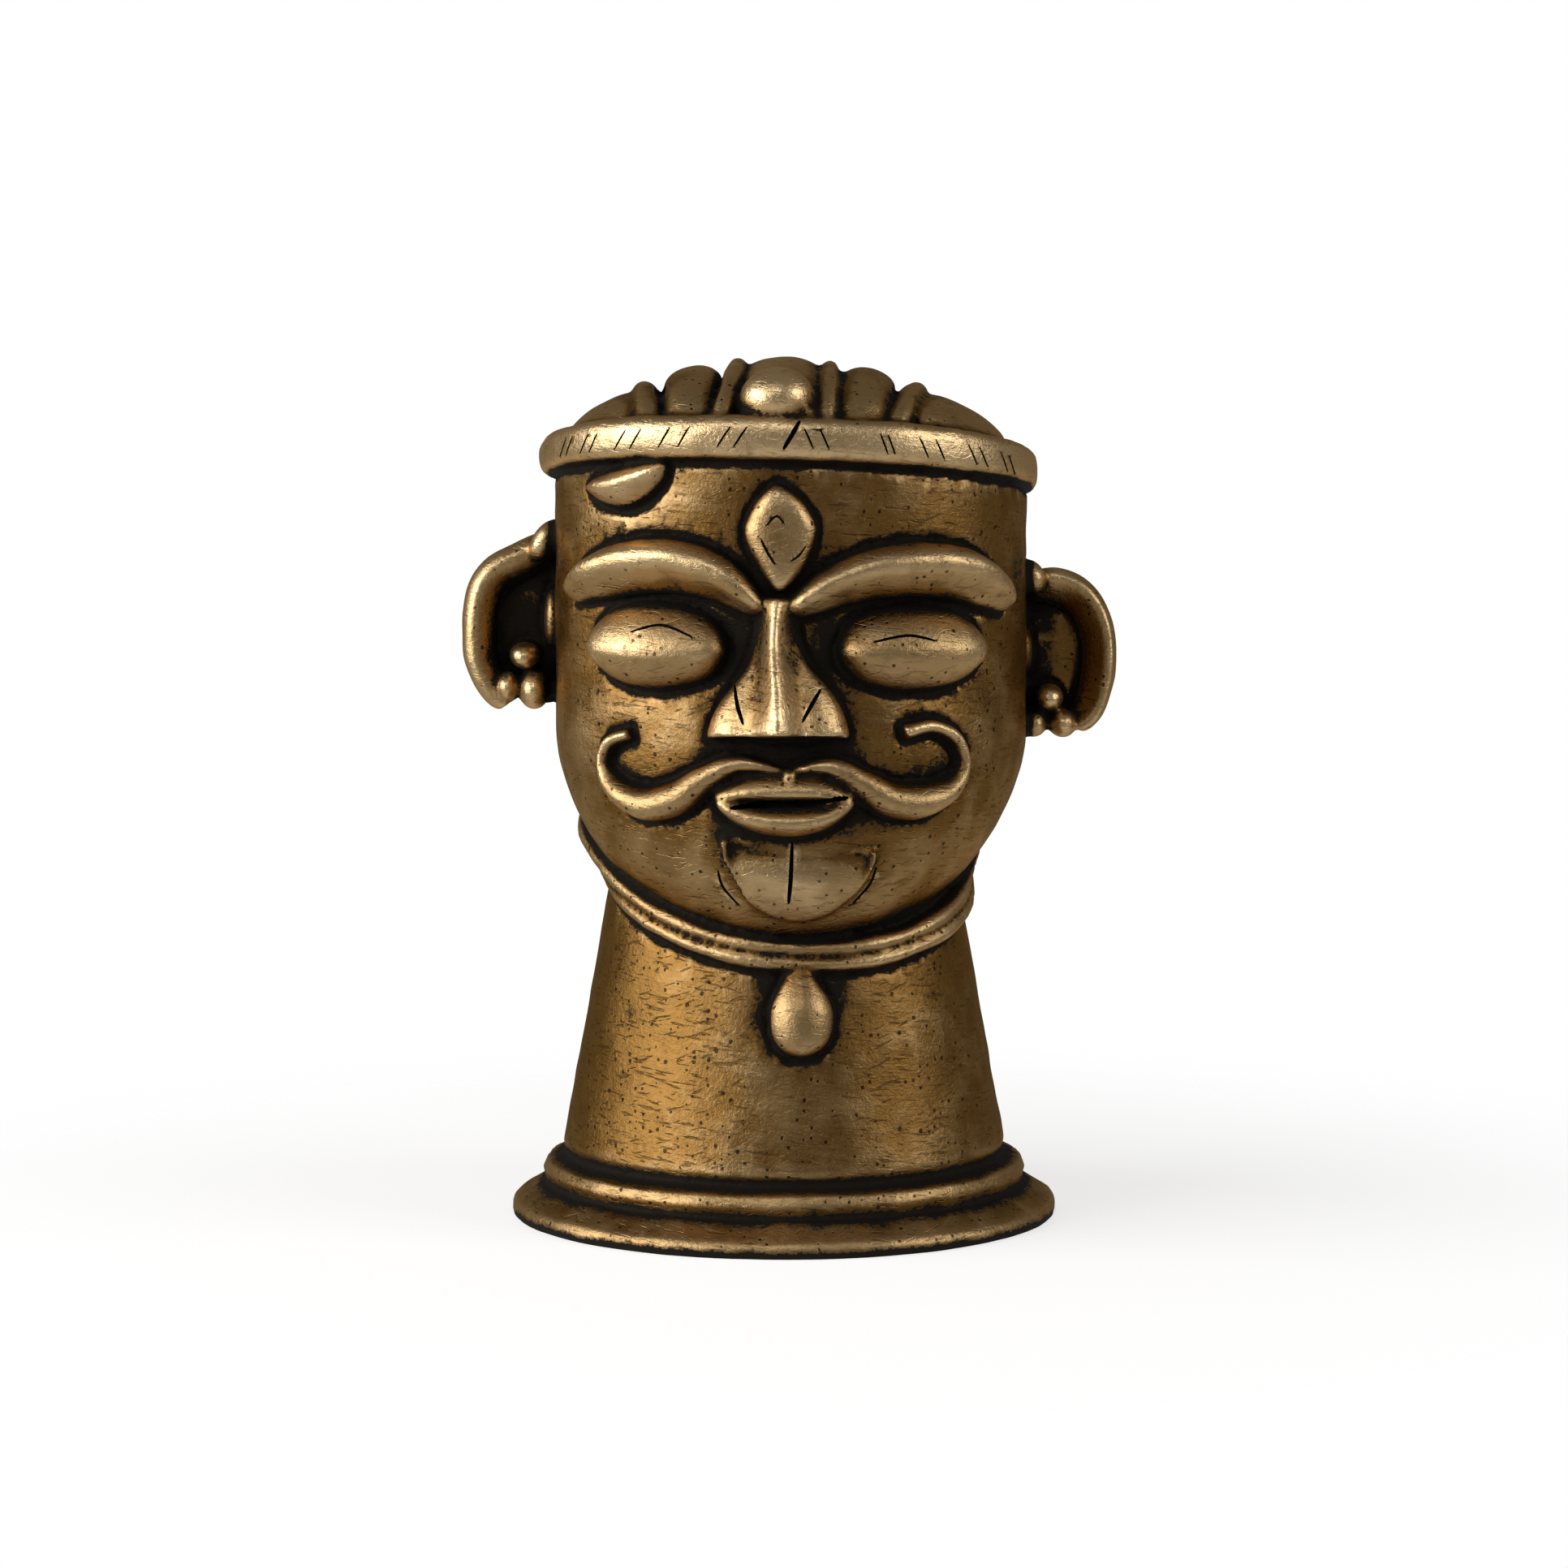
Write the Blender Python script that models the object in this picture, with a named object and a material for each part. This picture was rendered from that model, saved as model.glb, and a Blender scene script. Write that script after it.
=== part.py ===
"""Mukhalinga: a moustached god's head with a third eye on a flaring neck.

It is cast in brass as one hollow cover, open below, that slips over a linga and
stands on the flange round its foot. All the forms are drawn in millimetres, with
the face towards -Y, and turned into metres when they become Blender objects.
"""

import math

import bmesh
import bpy
from mathutils import Matrix, Vector

MM = 0.001

# The casting
HEIGHT = 120.3
WALL = 4.0
CROWN_WALL = 6.0

# The foot and the neck
FLANGE_RADIUS = 38.6
RIM_THICKNESS = 2.0
BEAD_RADIUS = 34.1
BEAD_THICKNESS = 3.2
NECK_FOOT_RADIUS = 31.2
NECK_TOP_RADIUS = 24.6

# The head, about its own axis, which leans a little to the viewer's right
HEAD_HALF_WIDTH = 33.0
HEAD_FRONT = 33.6
HEAD_BACK = 32.0
HEAD_LEAN = 1.0
BAND_HEIGHT = 6.0
BAND_PROUD = 2.1
NOSE_PROUD = 9.0
LEFT_EAR_REACH = 45.2
RIGHT_EAR_REACH = 46.8

# The fineness of the wax that the forms are pressed into, and of the finished solid
WAX_GRAIN = 0.62
SOLID_TRIANGLES_KEPT = 0.031

# The carving is drawn on a head 120.3 high and 66 wide, and grows with it
TALL = HEIGHT / 120.3
WIDE = HEAD_HALF_WIDTH / 33.0

# Heights, as shares of the whole
BEAD_Z = 0.0525 * HEIGHT
NECK_FOOT_Z = 0.082 * HEIGHT
NECK_TOP_Z = 0.392 * HEIGHT
CHIN_Z = 0.322 * HEIGHT
CHEEK_Z = 0.582 * HEIGHT
BAND_Z = 0.8745 * HEIGHT
BAND_ARCH = 0.038 * HEIGHT
BAND_ROLL = -0.009 * HEIGHT
DOME_RISE = 0.100 * HEIGHT

# The dome of the turban stands a little inside its band
DOME_INSET = 1.0
DOME_SHOULDER = 1.45
DOME_HALF_WIDTH = HEAD_HALF_WIDTH - DOME_INSET
DOME_FRONT = HEAD_FRONT - DOME_INSET
DOME_BACK = HEAD_BACK - DOME_INSET

# The plan of the face is a little flatter in front than a circle
FACE_SQUARENESS = 2.25
JAW_ROUND = 2.0
CHIN_FULLNESS = 4.0

# How sharply the head turns into the neck under the collar, how much less proud the band is at
# the viewer's right, and how far out each ear's dish stands, as a share of the ear's reach
THROAT_TURN = 30.0
BAND_THINNING = 0.33
DISH_OUT = 0.76

# The footprint, from ear to ear and from nose to flange, is centred on the origin
AXIS_X = (LEFT_EAR_REACH - RIGHT_EAR_REACH) / 2
AXIS_Y = (HEAD_FRONT + NOSE_PROUD - FLANGE_RADIUS) / 2

# How finely each roll of wax is shaped, along it and round it
ROLL_STATIONS = 32
ROLL_SIDES = 20
STEP = 0.25


def smooth(value):
    """Ease from 0 to 1."""
    value = min(1.0, max(0.0, value))
    return value * value * (3.0 - 2.0 * value)


def bump(x, z, x_middle, z_middle, x_reach, z_reach):
    """A soft round swelling of height 1 in the front view."""
    across = (x - x_middle) / x_reach
    up = (z - z_middle) / z_reach
    return math.exp(-across * across - up * up)


def rounded(side, crest=2.0, fullness=0.5, lean=0.0):
    """The rise across a roll, from 0 at its edges to 1 at its back, which may lean to a side."""
    reach = 1.0 - lean if side > lean else 1.0 + lean
    return max(0.0, 1.0 - (abs(side - lean) / reach) ** crest) ** fullness


def arched(t, power=2.0, share=0.5):
    """1 in the middle of a form and 0 at its ends."""
    return max(0.0, 1.0 - abs(2.0 * t - 1.0) ** power) ** share


def through(points, t):
    """A smooth path through points, as Catmull and Rom draw it, with t from 0 to 1."""
    last = len(points) - 1
    place = min(last - 1e-6, max(0.0, t * last))
    index = int(place)
    share = place - index
    before, start = points[max(0, index - 1)], points[index]
    end, after = points[index + 1], points[min(last, index + 2)]
    return tuple(
        0.5 * (2 * b + (c - a) * share + (2 * a - 5 * b + 4 * c - d) * share ** 2
               + (3 * b - a - 3 * c + d) * share ** 3)
        for a, b, c, d in zip(before, start, end, after)
    )


def along(*values):
    """A size that passes smoothly through even stations along a form."""
    return lambda t: max(0.05, through([(value,) for value in values], t)[0])


def drawn(x, z):
    """A point of the carving's drawing, at the size of this head."""
    return x * WIDE, z * TALL


def jaw_size(z, size, power):
    """A half size of the head at height z, drawn in below the cheeks towards the chin."""
    drop = min(1.0, max(0.0, (CHEEK_Z - z) / (CHEEK_Z - CHIN_Z)))
    return max(STEP, size * (1.0 - drop ** power) ** (1.0 / power))


def modelling(x, z):
    """What the soft forms of the face add to its depth: sockets, cheeks, muzzle and chin."""
    x, z = x / WIDE, z / TALL
    sockets = bump(x, z, -14.5, 82.0, 10.0, 6.0) + bump(x, z, 15.5, 82.0, 10.0, 6.0)
    cheeks = bump(x, z, -18.0, 68.0, 9.0, 8.0) + bump(x, z, 19.0, 68.0, 9.0, 8.0)
    muzzle = bump(x, z, 0.5, 62.0, 11.0, 7.0)
    chin = bump(x, z, 0.8, 50.0, 8.0, 6.0)
    return TALL * (0.5 * cheeks + 1.2 * muzzle + 0.9 * chin - 2.0 * sockets)


def turban_line(x, y):
    """The height of the turban's lower edge, which is tipped back and a little to one side."""
    return BAND_Z - BAND_ARCH * y / HEAD_FRONT + BAND_ROLL * (x - HEAD_LEAN) / HEAD_HALF_WIDTH


def head_point(angle, z):
    """A point of the plain head; angle 0 is the middle of the face, and 90 degrees its right."""
    half_width = jaw_size(z, HEAD_HALF_WIDTH, JAW_ROUND)
    side, ahead = math.sin(angle), math.cos(angle)
    if ahead < 0.0:
        return Vector((HEAD_LEAN + half_width * side, -jaw_size(z, HEAD_BACK, JAW_ROUND) * ahead, z))
    share = 2.0 / FACE_SQUARENESS
    x = HEAD_LEAN + half_width * math.copysign(abs(side) ** share, side)
    depth = jaw_size(z, HEAD_FRONT, CHIN_FULLNESS) + modelling(x, z)
    return Vector((x, -depth * ahead ** share, z))


def head_reach(angle, z):
    """How far the head reaches from its axis in one direction at height z."""
    half_width = jaw_size(z, HEAD_HALF_WIDTH, JAW_ROUND)
    side, ahead = abs(math.sin(angle)) / half_width, math.cos(angle)
    if ahead < 0.0:
        return 1.0 / math.hypot(side, ahead / jaw_size(z, HEAD_BACK, JAW_ROUND))
    depth = jaw_size(z, HEAD_FRONT, CHIN_FULLNESS) + modelling(half_width * math.sin(angle), z)
    return (side ** FACE_SQUARENESS + (ahead / depth) ** FACE_SQUARENESS) ** (-1.0 / FACE_SQUARENESS)


def face_point(x, z):
    """The point of the face that is seen from the front at x and z."""
    half_width = jaw_size(z, HEAD_HALF_WIDTH, JAW_ROUND)
    share = min(0.995, abs(x - HEAD_LEAN) / half_width)
    depth = jaw_size(z, HEAD_FRONT, CHIN_FULLNESS) + modelling(x, z)
    y = -depth * (1.0 - share ** FACE_SQUARENESS) ** (1.0 / FACE_SQUARENESS)
    return Vector((x, y, z))


def neck_radius(z):
    """The neck is a cone that narrows upwards from its foot."""
    share = (z - NECK_FOOT_Z) / (NECK_TOP_Z - NECK_FOOT_Z)
    return NECK_FOOT_RADIUS + (NECK_TOP_RADIUS - NECK_FOOT_RADIUS) * share


def throat_point(angle, z):
    """Where the collar lies: on the outer one of neck and head."""
    neck, head = neck_radius(z), head_reach(angle, z)
    outer = max(neck, head)
    radius = outer * ((neck / outer) ** THROAT_TURN + (head / outer) ** THROAT_TURN) ** (1 / THROAT_TURN)
    return Vector((HEAD_LEAN / 2 + radius * math.sin(angle), -radius * math.cos(angle), z))


def neck_point(x, z):
    """The point of the neck that is seen from the front at x and z."""
    radius = neck_radius(z)
    return Vector((x, -math.sqrt(max(STEP, radius * radius - x * x)), z))


def dome_point(x, angle):
    """A point of the turban's dome: angle 0 in front, 90 degrees on top, 180 behind."""
    share = math.sqrt(max(0.02, 1.0 - ((x - HEAD_LEAN) / DOME_HALF_WIDTH) ** 2))
    depth = DOME_FRONT if angle < math.pi / 2 else DOME_BACK
    y = -depth * share * math.cos(angle)
    return Vector((x, y, turban_line(x, y) + DOME_RISE * share ** DOME_SHOULDER * math.sin(angle)))


def normal_of(surface, first, second):
    """The outward normal of a surface(first, second), by small steps."""
    east = surface(first + STEP, second) - surface(first - STEP, second)
    up = surface(first, second + STEP) - surface(first, second - STEP)
    normal = east.cross(up).normalized()
    return normal if normal.dot(surface(first, second) - Vector((0, 0, CHEEK_Z))) > 0 else -normal


def on_face(points, lift=0.0):
    """A path over the face through points of the drawing, raised by lift."""
    def path(t):
        x, z = drawn(*through(points, t))
        normal = normal_of(face_point, x, z)
        return face_point(x, z) + normal * lift * TALL, normal
    return path


def add_to(wax, form):
    """Put a finished form into the wax, its faces outward."""
    if form.calc_volume(signed=True) < 0:
        bmesh.ops.reverse_faces(form, faces=form.faces)
    piece = bpy.data.meshes.new("form")
    form.to_mesh(piece)
    form.free()
    wax.from_mesh(piece)
    bpy.data.meshes.remove(piece)


def roll(wax, path, width, rise, sink=1.5):
    """One roll of wax, laid on the surface along path(t), which gives a point and a normal.

    width(t) is half its breadth, and rise(t, side) its height from one edge, side -1, to the
    other, side 1. It is sunk into the surface below.
    """
    places = {}

    def place(t):
        """The point, normal and sideways direction at t, worked out once for each ring."""
        key = round(t, 6)
        if key not in places:
            point, normal = path(t)
            ahead = path(min(1.0, t + 0.01))[0] - path(max(0.0, t - 0.01))[0]
            places[key] = point, normal, ahead.cross(normal).normalized()
        return places[key]

    form = bmesh.new()
    bmesh.ops.create_uvsphere(form, u_segments=ROLL_SIDES, v_segments=ROLL_STATIONS, radius=1.0)
    for vert in form.verts:
        turn = math.acos(max(-1.0, min(1.0, vert.co.z))) / math.pi
        t = min(1.0, max(0.0, (turn * ROLL_STATIONS - 1.0) / (ROLL_STATIONS - 2.0)))
        point, normal, across = place(t)
        ring = math.hypot(vert.co.x, vert.co.y)
        if ring < 1e-4:
            vert.co = point + normal * TALL * (rise(t, 0.0) - sink) / 2
            continue
        side, up = vert.co.x / ring, vert.co.y / ring
        lift = rise(t, side) if up > 0 else sink * up
        vert.co = point + across * width(t) * side * TALL + normal * lift * TALL
    add_to(wax, form)


def ball(wax, centre, size, tilt=0.0):
    """A pellet with its half sizes along X, Y and Z, tilted in the front view."""
    form = bmesh.new()
    bmesh.ops.create_icosphere(form, subdivisions=3, radius=1.0)
    bmesh.ops.scale(form, vec=Vector(size) * TALL, verts=form.verts)
    bmesh.ops.rotate(form, cent=(0, 0, 0), matrix=Matrix.Rotation(tilt, 3, "Y"), verts=form.verts)
    bmesh.ops.translate(form, vec=centre, verts=form.verts)
    add_to(wax, form)


def turned(wax, profile, steps=96):
    """A body turned about the neck's axis from its profile of radius and height."""
    form = bmesh.new()
    verts = [form.verts.new((radius, 0.0, z)) for radius, z in profile]
    edges = [form.edges.new(pair) for pair in zip(verts, verts[1:])]
    bmesh.ops.spin(form, geom=verts + edges, cent=(0, 0, 0), axis=(0, 0, 1),
                   angle=2 * math.pi, steps=steps, use_merge=True)
    bmesh.ops.remove_doubles(form, verts=form.verts, dist=0.001)
    add_to(wax, form)


def lofted(wax, section, top, bottom, sides=96, stations=48):
    """A closed body whose outline at height z is section(angle, z)."""
    form = bmesh.new()
    bmesh.ops.create_uvsphere(form, u_segments=sides, v_segments=stations, radius=1.0)
    for vert in form.verts:
        turn = math.acos(max(-1.0, min(1.0, vert.co.z))) / math.pi
        t = min(1.0, max(0.0, (turn * stations - 1.0) / (stations - 2.0)))
        z = top - (top - bottom) * math.sin(t * math.pi / 2)
        if math.hypot(vert.co.x, vert.co.y) < 1e-4:
            vert.co = (section(math.pi / 2, z) + section(-math.pi / 2, z)) / 2
        else:
            vert.co = section(math.atan2(vert.co.x, -vert.co.y), z)
    add_to(wax, form)


def foot_and_neck(wax):
    """The thin flange, the bead above it, and the neck that rises inside the head."""
    edge = 0.25 * RIM_THICKNESS
    bead = BEAD_THICKNESS / 2
    turned(wax, [
        (0.0, -WALL),
        (FLANGE_RADIUS - edge, -WALL),
        (FLANGE_RADIUS - 0.6 * edge, 0.0),
        (FLANGE_RADIUS, 0.5 * RIM_THICKNESS),
        (FLANGE_RADIUS - 0.8 * edge, RIM_THICKNESS),
        (BEAD_RADIUS + 0.4 * bead, BEAD_Z - 1.35 * bead),
        (BEAD_RADIUS - 0.5 * bead, BEAD_Z - 1.15 * bead),
        (BEAD_RADIUS - 0.2 * bead, BEAD_Z - 0.75 * bead),
        (BEAD_RADIUS, BEAD_Z),
        (BEAD_RADIUS - 0.3 * bead, BEAD_Z + 0.8 * bead),
        (NECK_FOOT_RADIUS + 0.1 * bead, BEAD_Z + 1.15 * bead),
        (NECK_FOOT_RADIUS - 0.3 * bead, BEAD_Z + 1.4 * bead),
        (NECK_FOOT_RADIUS, NECK_FOOT_Z + 0.2 * bead),
        (neck_radius(0.18 * HEIGHT), 0.18 * HEIGHT),
        (neck_radius(0.28 * HEIGHT), 0.28 * HEIGHT),
        (NECK_TOP_RADIUS, NECK_TOP_Z),
        (NECK_TOP_RADIUS, CHEEK_Z),
        (0.0, CHEEK_Z),
    ])


def head(wax):
    """The plain head, from under the dome down to the chin."""
    def section(angle, z):
        point = head_point(angle, z)
        tip = smooth((z - CHEEK_Z) / (BAND_Z - CHEEK_Z))
        point.z += tip * (turban_line(point.x, point.y) - BAND_Z)
        return point
    lofted(wax, section, BAND_Z + 0.3 * BAND_HEIGHT, CHIN_Z + STEP)


def dome(wax):
    """The crown of the turban, under its folds."""
    form = bmesh.new()
    bmesh.ops.create_uvsphere(form, u_segments=64, v_segments=32, radius=1.0)
    for vert in form.verts:
        x = HEAD_LEAN + DOME_HALF_WIDTH * vert.co.x
        y = (DOME_FRONT if vert.co.y < 0 else DOME_BACK) * vert.co.y
        share = math.sqrt(max(0.0, 1.0 - vert.co.x ** 2))
        vert.co = Vector((x, y, turban_line(x, y) + DOME_RISE * vert.co.z * share ** (DOME_SHOULDER - 1.0)))
    add_to(wax, form)


# Each fold of the turban: its x in front and on top, its half breadth in both, and its rise
FOLDS = (
    (-23.8, -24.6, 5.4, 5.8, 1.8),
    (-17.2, -19.2, 1.9, 1.9, 2.3),
    (-12.5, -12.6, 3.0, 4.0, 2.4),
    (-8.6, -6.0, 1.5, 1.6, 2.5),
    (-0.6, 0.2, 5.6, 5.4, 2.5),
    (5.2, 6.2, 1.6, 1.6, 2.5),
    (9.6, 11.6, 3.1, 3.9, 2.4),
    (13.7, 18.2, 1.7, 1.8, 2.3),
    (22.4, 25.0, 6.8, 6.4, 1.7),
)


def turban_folds(wax):
    """The folds of the turban, which run over the crown from the band in front to the back."""
    for front_x, top_x, front_half, top_half, height in FOLDS:
        def path(t):
            angle = math.pi * t
            x = WIDE * (front_x + (top_x - front_x) * math.sin(angle))
            point = dome_point(x, angle)
            around = dome_point(x, angle + 0.05) - dome_point(x, angle - 0.05)
            across = dome_point(x + STEP, angle) - dome_point(x - STEP, angle)
            normal = across.cross(around).normalized()
            return point, normal if normal.z >= 0 or abs(normal.y) > abs(normal.z) else -normal
        roll(wax, path, lambda t: front_half + (top_half - front_half) * math.sin(math.pi * t),
             lambda t, side: height * rounded(side), sink=3.0)


def band(wax):
    """The rolled band round the turban, which arches up over the forehead."""
    def path(t):
        angle = math.pi * (2.0 * t - 1.0)
        point = head_point(angle, BAND_Z)
        nudge = head_point(angle + 0.03, BAND_Z) - head_point(angle - 0.03, BAND_Z)
        point.z = turban_line(point.x, point.y)
        return point, nudge.cross(Vector((0, 0, 1))).normalized()
    def half(t):
        ahead = max(0.0, math.cos(math.pi * (2.0 * t - 1.0)))
        return BAND_HEIGHT / 2 * (0.82 + 0.18 * ahead) / TALL
    def rise(t, side):
        right = max(0.0, math.sin(math.pi * (2.0 * t - 1.0)))
        return BAND_PROUD * (1.0 - BAND_THINNING * right) / TALL * rounded(side, 3.0)
    roll(wax, path, half, rise, sink=3.0)


def jewel(wax):
    """The ball at the front of the turban, with its pinched tail."""
    x, z = drawn(-0.9, 115.2)
    centre = Vector((x, 2.4 * TALL - DOME_FRONT, z))
    ball(wax, centre, (5.0, 5.2, 4.1))
    ball(wax, centre + Vector((4.2, -1.4, -2.4)) * TALL, (2.4, 2.4, 1.3), 0.5)


THIRD_EYE = ((-1.0, 103.8), (-0.6, 99.0), (-0.4, 94.0), (-0.6, 89.4))
LEAF = ((-26.5, 102.8), (-21.0, 103.2), (-15.2, 106.2))


def forehead(wax):
    """The upright third eye and the leaf-shaped pellet under the band."""
    def half(t):
        side = (t - 0.42) / (0.42 if t < 0.42 else 0.58)
        return 4.9 * max(0.0, 1.0 - abs(side) ** 1.7)
    roll(wax, on_face(THIRD_EYE), half, lambda t, side: 2.6 * arched(t, 4.0) * rounded(side, 2.6))
    roll(wax, on_face(LEAF), lambda t: 3.1 * arched(t, 2.0, 0.9),
         lambda t, side: 2.7 * arched(t) * rounded(side, 1.3, 0.85, -0.25))


BROWS = (
    ((-28.4, 88.2), (-25.4, 90.6), (-20.5, 92.4), (-14.5, 92.7), (-8.5, 91.0), (-3.0, 86.8)),
    ((1.0, 86.8), (8.0, 90.7), (15.2, 92.1), (22.3, 91.7), (27.0, 89.6), (30.0, 86.8)),
)
BROW_LEAN = -0.42


def brows(wax):
    """The two heavy brows, each with a sharp back over a broad facet, which meet at the nose."""
    for points in BROWS:
        roll(wax, on_face(points), lambda t: 0.9 + 2.9 * arched(t, 2.4, 0.8),
             lambda t, side: (1.3 + 2.9 * arched(t, 3.0)) * rounded(side, 1.3, 0.85, BROW_LEAN))


EYES = (
    ((-25.8, 81.9), (-16.6, 81.8), (-7.2, 81.6)),
    ((7.0, 81.6), (16.4, 81.6), (26.6, 81.4)),
)


def eyes(wax):
    """The closed almond eyes, each with a soft keel along it."""
    for points in EYES:
        roll(wax, on_face(points), lambda t: 6.2 * arched(t, 2.2, 0.7),
             lambda t, side: 5.4 * arched(t, 2.4, 0.55) * rounded(side, 1.65, 0.72, 0.1))


# The nose, at even stations from the brows down to its foot
NOSE = ((-0.9, 88.6), (-1.1, 84.0), (-0.9, 79.0), (-0.7, 74.0), (-0.7, 69.9))
NOSE_HALF = along(3.2, 2.7, 3.1, 4.6, 7.4, 9.0, 9.6)
RIDGE_HALF = along(2.6, 2.3, 2.7, 3.5, 4.6, 5.4)
RIDGE_RISE = along(2.8, 4.2, 5.6, 7.2, 8.6, NOSE_PROUD / TALL - 0.2)
WING_RISE = along(0.8, 1.2, 2.2, 3.6, 4.8, 5.2)


def nose(wax):
    """The narrow ridge of the nose, rounded, over the lower slopes of its spreading wings."""
    def rise(t, side):
        across = min(1.0, abs(side) * NOSE_HALF(t) / RIDGE_HALF(t))
        ridge = RIDGE_RISE(t) * rounded(across, 1.35, 1.0)
        wing = WING_RISE(t) * rounded(side, 2.6, 0.5)
        return (ridge ** 4 + wing ** 4) ** 0.25
    roll(wax, on_face(NOSE), NOSE_HALF, rise)


# Each half of the moustache, from the middle out to its curl, with its half breadth on the way
MOUSTACHE = (
    (((0.0, 65.4), (-5.9, 66.3), (-10.3, 64.4), (-14.3, 61.6), (-18.6, 60.7), (-22.2, 62.6),
      (-23.9, 65.7), (-23.1, 68.6), (-20.4, 69.9)), along(0.4, 1.3, 1.7, 2.1, 2.2, 1.6, 1.0, 0.85, 0.7)),
    (((0.2, 65.3), (5.7, 66.0), (10.0, 63.9), (14.2, 61.6), (18.4, 61.3), (22.0, 62.7),
      (23.8, 65.8), (22.7, 69.4), (19.4, 71.1), (15.9, 70.4)),
     along(0.4, 1.3, 1.7, 2.1, 2.2, 1.6, 1.0, 0.9, 0.8, 0.9)),
)


def moustache(wax):
    """The moustache, thick over the cheeks and thin at its tips, which curl up."""
    for points, half in MOUSTACHE:
        roll(wax, on_face(points), half, lambda t, side: (0.9 + 0.95 * half(t)) * rounded(side))


UPPER_LIP = ((-8.9, 62.2), (-4.5, 63.1), (0.0, 63.3), (4.5, 63.1), (9.0, 61.9))
LOWER_LIP = ((-8.7, 61.6), (-4.5, 59.5), (0.4, 58.8), (5.0, 59.4), (9.0, 61.6))
CHIN = ((2.2, 55.2), (1.8, 51.0), (0.9, 45.2))


def mouth_and_chin(wax):
    """The two full lips and the tongue-shaped plate of the chin."""
    roll(wax, on_face(UPPER_LIP), lambda t: 0.5 + 1.35 * arched(t, 2.4, 0.8),
         lambda t, side: (1.4 + 1.6 * arched(t, 3.0)) * rounded(side, 1.8, 0.6, 0.4))
    roll(wax, on_face(LOWER_LIP), lambda t: 0.5 + 1.5 * arched(t, 2.4, 0.8),
         lambda t, side: (1.5 + 2.0 * arched(t, 3.0)) * rounded(side, 1.8, 0.6, -0.2))
    def half(t):
        return 10.6 * max(0.0, 1.0 - t ** 2.4) ** 0.55
    roll(wax, on_face(CHIN), half, lambda t, side: (
        1.3 * smooth(1.7 * t) - 0.45) * rounded(side, 6.0) - 0.010 * (half(t) * side) ** 2, sink=3.0)


# Each ear: its side and reach, the outline of its rim from the top to the lobe, the half breadth,
# rise and lean of the rim, its knob with its tilt, its strip, and its three balls
EARS = (
    (-1, LEFT_EAR_REACH,
     ((-33.5, 94.6), (-37.4, 92.6), (-41.8, 90.0), (-43.7, 85.5), (-43.9, 79.0), (-42.0, 74.2),
      (-39.6, 71.8)), 1.9, 3.2, 0.2,
     ((-34.1, 95.0), (1.7, 2.6, 3.1), 0.6), ((-33.2, 84.1), (1.3, 3.6, 4.3)),
     (((-37.2, 78.6), (2.2, 3.6, 1.9)), ((-39.7, 74.3), (1.8, 3.6, 2.3)), ((-35.9, 73.9), (2.3, 3.8, 2.8)))),
    (1, RIGHT_EAR_REACH,
     ((34.6, 88.4), (38.4, 88.6), (41.8, 86.8), (44.2, 82.6), (44.6, 77.0), (43.2, 71.5),
      (40.8, 68.9)), 2.4, 3.0, -0.6,
     ((34.8, 89.9), (1.8, 2.6, 2.5), -0.5), ((34.0, 79.4), (1.1, 3.6, 4.0)),
     (((37.3, 72.7), (2.1, 3.6, 2.0)), ((35.2, 69.2), (2.0, 3.6, 2.0)), ((39.3, 69.2), (2.0, 3.6, 2.0)))),
)


def ears(wax):
    """The flared ears: a thin dish in a rolled rim, a knob on top and three balls at the lobe."""
    for side_of, reach, rim, half, height, lean, knob, strip, balls in EARS:
        stretch = (reach - half * TALL) / max(abs(x) for x, z in rim)
        def path(t):
            x, z = through(rim, t)
            return Vector((x * stretch, 0.5 * TALL, z * TALL)), Vector((0, -1, 0))
        roll(wax, path, lambda t: half * arched(t, 8.0),
             lambda t, side: height * rounded(side, 1.9, 0.55, lean), sink=3.4)
        top, lobe = rim[0][1], rim[-1][1]
        dish = Vector((side_of * DISH_OUT * reach, 3.2 * TALL, TALL * (top + lobe) / 2))
        ball(wax, dish, (10.2, 2.2, (top - lobe) / 2 + 0.3))
        (x, z), size, tilt = knob
        ball(wax, Vector((x * stretch, -2.4 * TALL, z * TALL)), size, tilt)
        (x, z), size = strip
        ball(wax, Vector((x * stretch, 0.6 * TALL, z * TALL)), size)
        for (x, z), size in balls:
            ball(wax, Vector((x * stretch, -0.4 * TALL, z * TALL)), size)


def collar_and_pendant(wax):
    """The collar of two strands, low under the chin, and the drop that hangs from it."""
    for drop in (-1.0, 1.1):
        def strand(t):
            angle = math.pi * (2.0 * t - 1.0)
            z = TALL * (49.8 - drop - 10.2 * math.cos(angle) - 1.8 * math.sin(angle))
            nudge = throat_point(angle + 0.05, z) - throat_point(angle - 0.05, z)
            return throat_point(angle, z), nudge.cross(Vector((0, 0, 1))).normalized()
        roll(wax, strand, lambda t: 1.25, lambda t, side: 1.8 * rounded(side), sink=2.0)
    def path(t):
        x, z = drawn(2.1 + 0.3 * t, 40.0 - 14.3 * t)
        return neck_point(x, z), normal_of(neck_point, x, z)
    def half(t):
        return 1.5 + 2.9 * smooth((t - 0.1) / 0.55) if t < 0.68 else 4.4 * arched((t - 0.68) / 0.64 + 0.5)
    roll(wax, path, half,
         lambda t, side: (1.2 + 2.4 * smooth(t / 0.6) * arched(0.5 + t / 2, 6.0)) * rounded(side, 1.9))


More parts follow.
